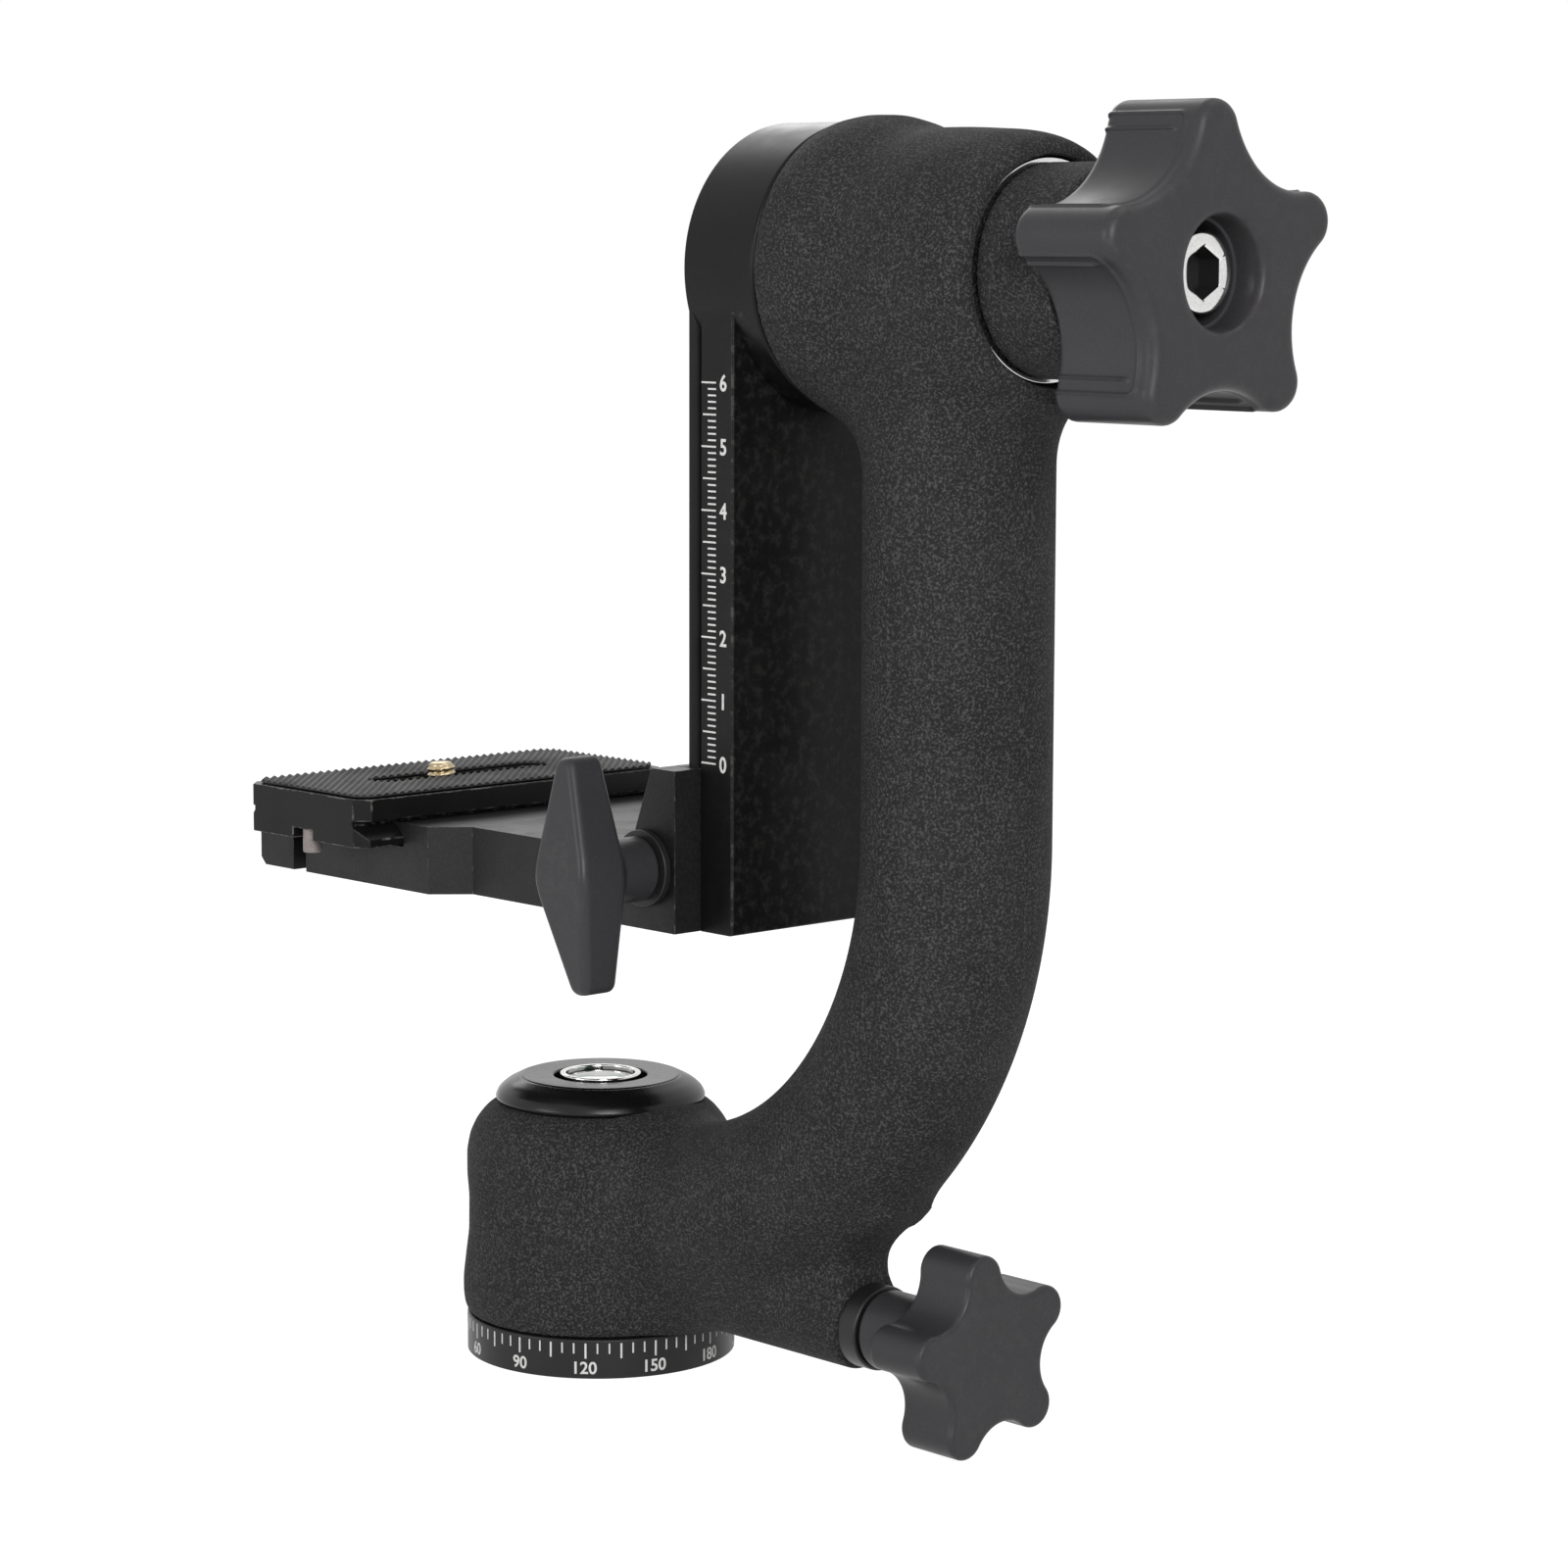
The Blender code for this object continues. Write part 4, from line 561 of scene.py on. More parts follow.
def arm_field(x, y, z):
    """Signed distance to the arm: hub, swept tube, housing, lock boss and heel, run into each other."""
    hub = turned_distance(np.hypot(x, y), z, hub_profile)
    bend = np.abs(np.hypot(x - BEND_X, z - BEND_HEIGHT) - BEND_RADIUS)
    level = np.hypot(z - ROOT_HEIGHT, np.minimum(x, 0))
    upright = np.hypot(x - UPRIGHT_X, np.maximum(z - tilt_height, 0))
    off_line = np.where(z > BEND_HEIGHT, upright, np.where(x < BEND_X, level, bend))
    tube = np.hypot(off_line, y) - TUBE_RADIUS
    housing = turned_distance(np.hypot(y, z - tilt_height), x, housing_profile)
    boss = turned_distance(np.hypot(y, z - pan_lock_height), x, boss_profile)
    hollow = HEEL_RADIUS - np.hypot(x - HEEL_CENTRE[0], z - HEEL_CENTRE[1])
    edge = x - (HEEL_CENTRE[0] - HEEL_RADIUS) - np.maximum(z - HEEL_CENTRE[1], 0)
    above = BEND_RADIUS - np.hypot(x - BEND_X, z - BEND_HEIGHT)
    heel = np.maximum(np.maximum(hollow, edge), np.maximum(pan_lock_height - z, above))
    heel = np.maximum(np.maximum(heel, HEEL_START - x), z - HEEL_TOP)
    heel = -blended(-heel, -(np.abs(y) - HEEL_HALF), HEEL_EDGE)
    body = blended(hub, tube, TUBE_BLEND)
    body = blended(body, housing, HOUSING_BLEND)
    body = blended(body, boss, BOSS_BLEND)
    return np.maximum(blended(body, heel, HEEL_BLEND), HUB_BOTTOM - z)


def shell(field, low, high, pitch):
    """The surface field = 0 as a mesh, by surface nets.

    Each cell of a cubic grid whose corners have both signs gets one point, the mean of the
    crossings on its edges; each grid edge that crosses gets the quad of the four cells round it.
    Each point is then moved along the field's slope until the field is zero there.
    """
    sizes = [np.arange(a, b + pitch, pitch) for a, b in zip(low, high)]
    x, y, z = np.meshgrid(*sizes, indexing="ij")
    value = field(x, y, z)
    inside = value < 0
    cells = np.array(value.shape) - 1
    total = np.zeros((*cells, 3))
    count = np.zeros(cells)
    crossings = []
    for k in range(3):
        first = [slice(None)] * 3
        second = [slice(None)] * 3
        first[k], second[k] = slice(0, -1), slice(1, None)
        a, b = value[tuple(first)], value[tuple(second)]
        cross = inside[tuple(first)] != inside[tuple(second)]
        share = np.where(cross, a / np.where(cross, a - b, 1), 0)
        crossings.append((cross, inside[tuple(first)]))
        p, q = [m for m in range(3) if m != k]
        for i in (0, 1):
            for j in (0, 1):
                part = [slice(None)] * 3
                part[p], part[q] = slice(i, i + cells[p]), slice(j, j + cells[q])
                on = cross[tuple(part)]
                count += on
                total[..., k] += share[tuple(part)]
                total[..., p] += i * on
                total[..., q] += j * on
    used = count > 0
    number = np.full(cells, -1)
    number[used] = np.arange(used.sum())
    points = np.array(low) + pitch * (np.argwhere(used) + total[used] / count[used][:, None])
    quads = []
    for k, (cross, starts_inside) in enumerate(crossings):
        p, q = (k + 1) % 3, (k + 2) % 3
        at = np.argwhere(cross)
        at = at[(at[:, p] > 0) & (at[:, q] > 0) & (at[:, p] < cells[p]) & (at[:, q] < cells[q])]
        step_p, step_q = np.eye(3, dtype=int)[p], np.eye(3, dtype=int)[q]
        ring = [number[tuple((at - s).T)] for s in (step_p + step_q, step_q, 0 * step_p, step_p)]
        quad = np.stack(ring, -1)
        flip = ~starts_inside[tuple(at.T)]
        quad[flip] = quad[flip][:, ::-1]
        quads.append(quad)
    small = 0.02
    for _ in range(3):
        px, py, pz = points.T
        here = field(px, py, pz)
        slope = np.stack([field(px + small, py, pz) - field(px - small, py, pz),
                          field(px, py + small, pz) - field(px, py - small, pz),
                          field(px, py, pz + small) - field(px, py, pz - small)], -1) / (2 * small)
        move = here[:, None] * slope / np.maximum((slope ** 2).sum(1), 0.25)[:, None]
        points = points - np.clip(move, -pitch, pitch)
    return points, np.concatenate(quads)


def build_arm():
    """The arm's surface, with a turned cutter for each bore, a gap wider than what sits there."""
    half_width, right_end, pitch = 32.0, 134.0, 1.0
    points, quads = shell(arm_field, (-half_width, -half_width, HUB_BOTTOM - 2.5),
                          (right_end, half_width, tilt_height + half_width), pitch)
    arm = tidy(mesh_object("arm_casting", points, quads))
    neck_room, stud_room, shoe_room, shaft_room = 11.5, 3.3, 5.7, 14
    cap_radius = span("level_cap")[1][0] + GAP
    seat = span("pan_upper_bearing")[1][0] + GAP
    upper = span("pan_upper_bearing")[0][2] - GAP
    lower = span("pan_lower_bearing")[1][2] + GAP
    flange = span("pan_spindle")[1][0] + GAP
    drum_bottom = span("pan_spindle")[0][2] + 4.3
    pan_bore = turned("pan_bore", [
        (0, HUB_TOP + 20), (cap_radius, HUB_TOP + 20), (cap_radius, HUB_TOP), (seat, HUB_TOP), (seat, upper),
        (neck_room, upper), (neck_room, lower), (seat, lower), (seat, drum_bottom), (flange, drum_bottom),
        (flange, HUB_BOTTOM - 2 * OVERRUN), (0, HUB_BOTTOM - 2 * OVERRUN)], pan_axis)
    shoe = span("pan_brake_shoe")[1][0] + 1.3
    lock_bore = turned("lock_bore", [
        (0, BOSS_END + OVERRUN), (stud_room, BOSS_END + OVERRUN), (stud_room, shoe), (shoe_room, shoe),
        (shoe_room, neck_room), (0, neck_room)], pan_lock_axis, 48)
    ring_low, ring_high = span("tilt_end_ring")
    left_high = span("tilt_left_bearing")[1]
    right_low = span("tilt_right_bearing")[0]
    washer_high = span("tilt_friction_washer")[1]
    ring_room, race_room = ring_high[1] + GAP, left_high[1] + GAP
    washer_room, step = washer_high[1] + GAP, washer_high[0] + GAP
    mouth, right, left = ring_room + 0.4, HOUSING_RIGHT + 2 * OVERRUN, HOUSING_LEFT - 2 * OVERRUN
    tilt_bore = turned("tilt_bore", [
        (0, right), (mouth, right), (mouth, HOUSING_RIGHT + 0.1), (ring_room, HOUSING_RIGHT - 0.3),
        (ring_room, ring_low[0] - GAP), (race_room, ring_low[0] - GAP), (race_room, right_low[0] - GAP),
        (shaft_room, right_low[0] - GAP), (shaft_room, left_high[0] + GAP), (race_room, left_high[0] + GAP),
        (race_room, step), (washer_room, step), (washer_room, left), (0, left)], tilt_axis, 160)
    carved(arm, pan_bore, lock_bore, tilt_bore)
    finished(shaded(arm, 38, False), sand_paint, "arm", "main_arm")


# Knobs

LOBES = 5


def star(tip, lobe, valley, lobes, turn, count):
    """Outline of a knob: arcs of radius lobe that reach tip, joined by hollow arcs in to valley."""
    reach, half, lift = tip - lobe, math.pi / lobes, lobe - valley
    hollow = (reach ** 2 - lift ** 2) / (2 * (lift + reach * math.cos(half)))
    spread = math.atan2(hollow * math.sin(half), hollow * math.cos(half) - reach)
    hollow_radius, hollow_spread = hollow - valley, spread - half
    share = np.linspace(-1, 1, 40)[:-1]
    out = np.stack([reach + lobe * np.cos(spread * share), lobe * np.sin(spread * share)], -1)
    bow = half - hollow_spread * share
    inner = np.stack([hollow * math.cos(half) - hollow_radius * np.cos(bow),
                      hollow * math.sin(half) - hollow_radius * np.sin(bow)], -1)
    one = np.concatenate([out, inner])
    angle = turn + 2 * half * np.arange(lobes)[:, None, None]
    x, y = one[None, :, 0:1], one[None, :, 1:2]
    ring = np.concatenate([x * np.cos(angle) - y * np.sin(angle), x * np.sin(angle) + y * np.cos(angle)], -1)
    return evenly(ring.reshape(-1, 2), count)


def knob_rows(outline, back, front, edge, back_circles, front_circles, relief=None, flank_rows=24, crown=0.0):
    """Rows of points for a knob: circles, its back, its flank and its front, from pole to pole.

    On the flank the outline moves inward by edge (1 - sin a) as the height closes on a face by
    edge (1 - cos a), so its rims are quarter rounds, and by relief(run, height) besides.  Each
    face runs straight from the inset outline to the nearest circle, the front one raised by crown at the
    middle.
    """
    normal = outward(outline)
    run = np.concatenate([[0], np.cumsum(np.linalg.norm(np.diff(outline, axis=0), axis=1))])
    heading = outline / np.linalg.norm(outline, axis=1, keepdims=True)
    quarter = np.linspace(0, math.pi / 2, 7)
    inset = np.concatenate([edge * (1 - np.sin(quarter)), np.zeros(flank_rows),
                            edge * (1 - np.sin(quarter[::-1]))])
    height = np.concatenate([back + edge * (1 - np.cos(quarter)),
                             np.linspace(back + edge, front - edge, flank_rows + 2)[1:-1],
                             front - edge * (1 - np.cos(quarter[::-1]))])
    flank = outline[None] - normal[None] * inset[:, None, None]
    if relief is not None:
        flank = flank - normal[None] * relief(run[None, :], height[:, None])[..., None]
    rows = [np.concatenate([flank, np.broadcast_to(height[:, None, None], (*flank.shape[:2], 1))], -1)]
    sides = ((back_circles, flank[0], back, True), (front_circles, flank[-1], front, False))
    for circles, rim, face, first in sides:
        radius, level = np.array(circles, float).T
        rings = np.concatenate([heading[None] * radius[:, None, None],
                                np.broadcast_to(level[:, None, None], (len(radius), len(outline), 1))], -1)
        share = np.linspace(0, 1, 10)[1:-1][:, None, None]
        near = rings[-1] if first else rings[0]
        flat = near[None, :, :2] * share + rim[None] * (1 - share)
        lift = face + (crown * share * (2 - share) if not first else 0 * share)
        between = np.concatenate([flat, np.broadcast_to(lift, (*flat.shape[:2], 1))], -1)
        if first:
            rows = [rings, between[::-1], *rows]
        else:
            rows = [*rows, between, rings]
    return np.concatenate(rows)


def panel_relief(half_period, tip_clear, front_clear, front, corner, depth, bead, rib):
    """A shallow panel in each hollow of a knob's flank, with a bead round it and a rib inside each end.

    q is the distance to a rounded rectangle measured along the outline and along the axis.  The
    panel is depth deep where q < 0, the bead is a bump of height bead at its rim, and the rib is
    a bump that runs along the axis at rib mm inside the panel's ends and stops at its front.
    """
    wall, bead_place, bead_width, rib_width, rib_end, most = 0.14, 0.35, 0.36, 0.34, 0.2, 30

    def relief(run, height):
        from_tip = np.abs((run + half_period) % (2 * half_period) - half_period)
        across = tip_clear + corner - from_tip
        ahead = height - (front - front_clear - corner)
        within = np.minimum(np.maximum(across, ahead), 0)
        q = np.hypot(np.maximum(across, 0), np.maximum(ahead, 0)) + within - corner
        fall = 1 / (1 + np.exp(np.clip(q / wall, -most, most)))
        stop = 1 + np.exp(np.clip((ahead + 0.6) / rib_end, -most, most))
        bar = np.exp(-((across - corner + rib) / rib_width) ** 2) / stop
        return depth * fall - bead * np.exp(-((q - bead_place) / bead_width) ** 2) - 1.5 * bead * bar
    return relief


def set_wear(item, values):
    """Stores a wear_and_highlight_edge value for each point: rubbed paint on the rail, a painted highlight on
    the knobs.
    """
    layer = item.data.attributes.new("wear_and_highlight_edge", "FLOAT", "POINT")
    layer.data.foreach_set("value", values.astype(np.float32))
    return item


def points_of(item):
    """The piece's points in millimetres."""
    flat = np.zeros(3 * len(item.data.vertices))
    item.data.vertices.foreach_get("co", flat)
    return flat.reshape(-1, 3) / MM


def build_tilt_knob():
    """The large knob: five lobes, a panel in each hollow, and a stepped recess round its screw."""
    low, high = span("tilt_lock_knob")
    tip, lobe, valley, turn, points = 30.9, 5.4, 21.0, math.radians(3.2), 900
    back, front = low[0], high[0]
    outline = star(tip, lobe, valley, LOBES, turn, points)
    length = np.linalg.norm(outline - np.roll(outline, 1, 0), axis=1).sum()
    first_tip = np.argmax(np.hypot(*outline[:points // LOBES].T))
    run_to_tip = first_tip * length / points
    panel = panel_relief(length / (2 * LOBES), 5.6, 4.4, front, 1.6, 0.35, 0.38, 2.5)
    recess, head_room, stud_room = 10.2, 9.5, 6.6
    floor, inner_floor, back_floor = front - 13.5, back + 8.8, back + 8.6
    circles = [(11.9, front), (11.2, front - 0.15), (10.6, front - 0.6), (10.3, front - 1.4),
               (recess, front - 2.4), (recess, front - 6.2), (10.15, front - 6.4), (9.6, front - 6.6),
               (head_room, front - 7.0), (head_room, floor + 0.6), (9.2, floor), (stud_room, floor),
               (stud_room, inner_floor), (0, inner_floor)]
    rows = knob_rows(outline, back, front, 2.2, [(0, back_floor), (9.5, back_floor), (9.5, back)], circles,
                     lambda run, height: panel(run - run_to_tip, height), 60)
    knob = skin("big_lobed_knob", tilt_axis.place(rows))
    # Painted highlight: a lighter band, in patches, round the front rim and over the front face.
    set_wear(knob, np.exp(-((points_of(knob)[:, 0] - front + 0.8) / 0.9) ** 2))
    finished(shaded(knob, 50), knob_grey, "tilt_lock", "tilt_lock_knob")


def build_pan_knob():
    """The small knob: five lobes, a face hollowed a little, and a neck that flares into its back."""
    low, high = span("pan_lock_knob")
    front, neck_left = high[0], low[0]
    back, neck_radius = front - 14.0, 8.0
    outline = star(20.8, 4.6, 13.6, LOBES, math.radians(9.0), 700)
    neck = [(0, neck_left + 0.4), (3.4, neck_left + 0.4), (3.4, neck_left), (7.4, neck_left),
            (7.8, neck_left + 0.3), (neck_radius, neck_left + 0.9), (neck_radius, back - 2.6),
            (8.3, back - 1.2), (9.2, back - 0.3), (10.2, back)]
    face = [(6.0, front - 0.15), (3.0, front - 0.2), (0, front - 0.2)]
    rows = knob_rows(outline, back, front, 1.0, neck, face, None, 24, -0.15)
    knob = skin("small_lobed_knob", pan_lock_axis.place(rows))
    # Painted highlight: a lighter band, in patches, round the front rim and over the front face.
    set_wear(knob, np.exp(-((points_of(knob)[:, 0] - front + 0.5) / 0.7) ** 2))
    finished(shaded(knob, 50), knob_grey, "pan_lock", "pan_lock_knob")


def build_wing_knob():
    """The wing: a rhombus carried along the lock's axis, its front falling away to both tips.

    With t = |height| / half height, the front is at thickness - tip recess * t; the rim is a
    quarter round and the front's middle line stays a soft ridge.
    """
    half_h, half_w, tip_w, turn = 23.2, 8.2, 2.2, math.radians(5.5)
    low, high = span("height_lock_knob")
    front, neck_low = -low[1], -high[1]
    back, recess, edge = front - 11.4, 3.4, 1.5
    corners = [(half_h, -tip_w), (half_h, tip_w), (0, half_w),
               (-half_h, tip_w), (-half_h, -tip_w), (0, -half_w)]
    outline = evenly(rounded(corners, [2.2, 2.2, 5.0, 2.2, 2.2, 5.0], 12, True), 420)
    normal = outward(outline)
    quarter = np.linspace(0, math.pi / 2, 7)
    inset = np.concatenate([edge * (1 - np.sin(quarter)), np.zeros(16), edge * (1 - np.sin(quarter[::-1]))])
    rise = np.concatenate([edge * (1 - np.cos(quarter)), np.zeros(16), edge * (np.cos(quarter[::-1]) - 1)])
    flank = outline[None] - normal[None] * inset[:, None, None]
    slope = recess * (np.sqrt((flank[..., 0] / half_h) ** 2 + 0.004) - 0.063)
    top = front - slope
    share = np.linspace(0, 1, 18)[1:-1, None]
    height = np.empty(flank.shape[:2])
    height[:7] = back + rise[:7, None]
    height[7:23] = back + edge + (top[7:23] - back - 2 * edge) * share
    height[23:] = top[23:] + rise[23:, None]
    body = np.concatenate([flank, height[..., None]], -1)
    heading = outline / np.linalg.norm(outline, axis=1, keepdims=True)
    radius, level = np.array([(0, neck_low), (5.8, neck_low), (6.2, neck_low + 0.2), (6.4, neck_low + 0.7),
                              (6.4, back - 1.2), (6.7, back - 0.4), (7.0, back)]).T
    rings = np.concatenate([heading[None] * radius[:, None, None],
                            np.broadcast_to(level[:, None, None], (len(radius), 420, 1))], -1)
    step = np.linspace(0, 1, 12)[1:][:, None, None]
    inner = flank[-1][None] * (1 - step) + 0 * step
    shown = front - recess * (np.sqrt((inner[..., 0] / half_h) ** 2 + 0.004) - 0.063)
    face = np.concatenate([inner, shown[..., None]], -1)
    behind = flank[0][None] * step[:-1] + rings[-1][None, :, :2] * (1 - step[:-1])
    behind = np.concatenate([behind, np.full((*behind.shape[:2], 1), back)], -1)
    rows = np.concatenate([rings, behind, body, face])
    c, s = math.cos(turn), math.sin(turn)
    x, y, along = rows[..., 0], rows[..., 1], rows[..., 2]
    rows = np.stack([x * c - y * s, x * s + y * c, along], -1)
    knob = skin("wing_knob", height_axis.place(rows))
    # Painted highlight: a lighter band, in patches, along the front rim and over the front.
    set_wear(knob, np.exp(-((-points_of(knob)[:, 1] - front + 0.5) / 0.9) ** 2))
    finished(shaded(knob, 50), knob_grey, "height_lock", "height_lock_knob")


def build_clamp_knob():
    """The clamp's knob: a small drum with twelve flutes, on a neck."""
    low, high = span("clamp_knob")
    neck_low, front = -high[0], -low[0]
    back = front - 13.0
    outline = star(9.5, 1.5, 8.7, 12, 0, 480)
    rows = knob_rows(outline, back, front, 0.7,
                     [(0, neck_low + 0.3), (2.9, neck_low + 0.3), (2.9, neck_low), (5.1, neck_low),
                      (5.4, neck_low + 0.3), (5.4, back - 0.5), (5.9, back)],
                     [(6.4, front), (5.8, front - 0.5), (3.0, front - 0.5), (0, front - 0.5)], None, 12)
    knob = skin("fluted_knob", clamp_axis.place(rows))
    finished(shaded(knob, 40), collar_black, "plate_lock", "clamp_knob")


def hexagon_radius(angle, radius):
    """Radius of a hexagon with corners at distance radius, at each angle."""
    return radius * math.cos(math.pi / 6) / np.cos((angle % (math.pi / 3)) - math.pi / 6)


def socket_screw(name, axis, seat, head_radius, head_height, radius, length, hexagon, deep, steps=96):
    """A socket screw whose head stands on seat: turned all round but for its hexagonal socket."""
    angle = np.linspace(0, FULL_TURN, steps, endpoint=False)
    flat = np.ones(steps)
    six = hexagon_radius(angle, 1.0)
    top = seat + head_height
    chamfer = min(0.6, head_height / 5)
    rings = [(0, top - deep - 0.5, flat), (hexagon * 0.8, top - deep, flat), (hexagon, top - deep, six),
             (hexagon, top - 0.35, six), (hexagon * 1.06, top, flat), (head_radius - chamfer, top, flat),
             (head_radius - 0.3 * chamfer, top - 0.3 * chamfer, flat), (head_radius, top - chamfer, flat),
             (head_radius, seat, flat), (radius, seat, flat), (radius, seat - length, flat),
             (0, seat - length, flat)]
    rows = np.stack([np.stack([r * s * np.cos(angle), r * s * np.sin(angle), np.full(steps, h)], -1)
                     for r, h, s in rings])
    return skin(name, axis.place(rows))


def darken_socket(screw, axis, reach, top):
    """Gives the faces inside a socket, nearer its axis than reach and below top, the dark steel material as
    painted shade in the recess.
    """
    centres = np.empty(3 * len(screw.data.polygons), np.float32)
    screw.data.polygons.foreach_get("center", centres)
    local = (centres.reshape(-1, 3) / MM - axis.origin) @ axis.basis.T
    inside = (np.hypot(local[:, 0], local[:, 1]) < reach) & (local[:, 2] < top)
    screw.data.materials.append(dark_steel_and_socket_shade)
    screw.data.polygons.foreach_set("material_index", inside.astype(np.int32))


def build_screws():
    """The large knob's screw, the three under the base and the four in the swing arm's head."""
    low, high = span("tilt_knob_screw")
    seat = low[0] + 12.0
    head = (high[1] - low[1]) / 2
    screw = socket_screw("big_socket_screw", tilt_axis, seat, head, high[0] - seat, 3.0, 12.0,
                         head * 0.66, 5.2)
    finished(shaded(screw, 35), bright_chrome, "swing", "tilt_knob_screw")
    # Painted shade: the inside of the socket is coloured dark.
    darken_socket(screw, tilt_axis, head * 0.68, high[0] - 0.3)
    head_height = 2.2
    for k in range(1, 4):
        name = "base_screw_%d" % k
        low, high = span(name)
        spot = (low + high) / 2
        down = Axis(DOWN, (spot[0], spot[1], 0))
        screw = socket_screw("underside_screw_%d" % k, down, -low[2] - head_height, (high[0] - low[0]) / 2,
                             head_height, 2.0, high[2] - low[2] - head_height, 2.0, 1.4, 48)
        finished(shaded(screw, 35), plain_steel, "base", name)
    head_height = 3.6
    for k in range(1, 5):
        name = "swing_screw_%d" % k
        low, high = span(name)
        spot = (low + high) / 2
        axis = Axis(LEFT, (0, spot[1], spot[2]))
        screw = socket_screw("disc_screw_%d" % k, axis, -low[0] - head_height, (high[1] - low[1]) / 2,
                             head_height, 2.5, high[0] - low[0] - head_height, 2.4, 2.4, 48)
        finished(shaded(screw, 35), plain_steel, "swing", name)


# Turned pieces


def ring_profile(bore, radius, low, high, edge):
    """Closed profile of a ring with both outer rims and both inner rims rounded by edge."""
    return rounded([(bore, low), (radius, low), (radius, high), (bore, high)], edge, 5, True)


def build_base():
    """The base ring with the room for its insert and screws, and the insert with its thread."""
    low, high = span("pan_base")
    radius, top = high[0], high[2]
    body, shank = 8.3, 2.3
    ring = turned("base_ring", rounded([(0, 0), (radius - 0.1, 0), (radius, 0.1), (radius, top), (0, top)],
                                       [0, 0.1, 0.9, 0.5, 0], 6), pan_axis, 240)
    flange = span("tripod_thread_insert")[1][0] + GAP
    tools = [turned("insert_room", [
        (0, top + OVERRUN), (flange, top + OVERRUN), (flange, top - 2.3), (body, top - 2.3),
        (body, 0.5), (body + 0.5, -0.1), (body + 0.5, -OVERRUN), (0, -OVERRUN)], pan_axis, 96)]
    for k in range(1, 4):
        low, high = span("base_screw_%d" % k)
        spot = (low + high) / 2
        reach = (high[0] - low[0]) / 2 + GAP
        line = Axis(UP, (spot[0], spot[1], 0))
        tools.append(turned("screw_room_%d" % k, [
            (0, top + OVERRUN), (shank, top + OVERRUN), (shank, low[2] + 2.5), (reach, low[2] + 2.5),
            (reach, 0.3), (reach + 0.4, -0.1), (reach + 0.4, -OVERRUN), (0, -OVERRUN)], line, 48))
    carved(ring, *tools)
    finished(shaded(ring, 35), ring_black, "base", "pan_base")
    low, high = span("tripod_thread_insert")
    turns, steps = 9, 6
    climb = np.linspace(0, 1, turns * steps)
    thread_depth = 0.35 * np.abs(((climb * turns) % 1) * 2 - 1)
    bore = np.stack([4.35 + thread_depth, low[2] + 0.2 + climb * (high[2] - 0.4)], -1)
    outer = [(5.2, high[2]), (high[0], high[2]), (high[0], high[2] - 2.0), (8.0, high[2] - 2.0), (8.0, 0.25),
             (7.75, 0), (5.2, 0)]
    insert = turned("thread_insert", [*bore, *outer], pan_axis, 96, True)
    finished(shaded(insert, 40), warm_brass, "base", "tripod_thread_insert")


def build_cap():
    """The cap with its moat round the level, the level's ring, and the domed window."""
    low, high = span("level_cap")
    radius, top, bottom = high[0], high[2], HUB_TOP + GAP
    bezel = span("level_bezel")[1][0]
    moat, floor = bezel + 1.3, top - 3.4
    skirt, skirt_bore = 14.7, 12.9
    profile = [(0, floor), (moat, floor), (moat, top - 0.1), (16.6, top + 0.05), (17.0, top - 0.25),
               (17.3, top - 0.2), (20.0, top - 1.5), (21.7, top - 3.0), (radius, bottom + 0.7),
               (radius - 0.3, bottom), (skirt, bottom), (skirt, low[2]), (skirt_bore, low[2]),
               (skirt_bore, bottom), (0, bottom)]
    reach = [0, 0.2, 0.5, 0.2, 0.2, 0.3, 2.0, 1.6, 0.8, 0.2, 0.1, 0.2, 0.2, 0.1, 0]
    cap = turned("level_cap_finished", rounded(profile, reach, 7), pan_axis, 200)
    finished(shaded(cap, 40), cap_gloss, "arm", "level_cap")
    low, high = span("level_bezel")
    section = ring_profile(high[0] - 1.3, high[0], low[2], high[2], 0.35)
    ring = turned("level_ring", section, pan_axis, 128, True)
    finished(shaded(ring, 40), bright_chrome, "arm", "level_bezel")
    low, high = span("level_vial")
    vial, window = high[0], high[2]
    dome = rounded([(0, window), (vial * 0.55, window - 0.12), (vial, window - 0.75), (vial, low[2]),
                    (0, low[2])], [0, 2.5, 0.3, 0.2, 0], 8)
    glass = turned("level_glass", dome, pan_axis, 96)
    finished(shaded(glass, 50), level_green(), "arm", "level_vial")


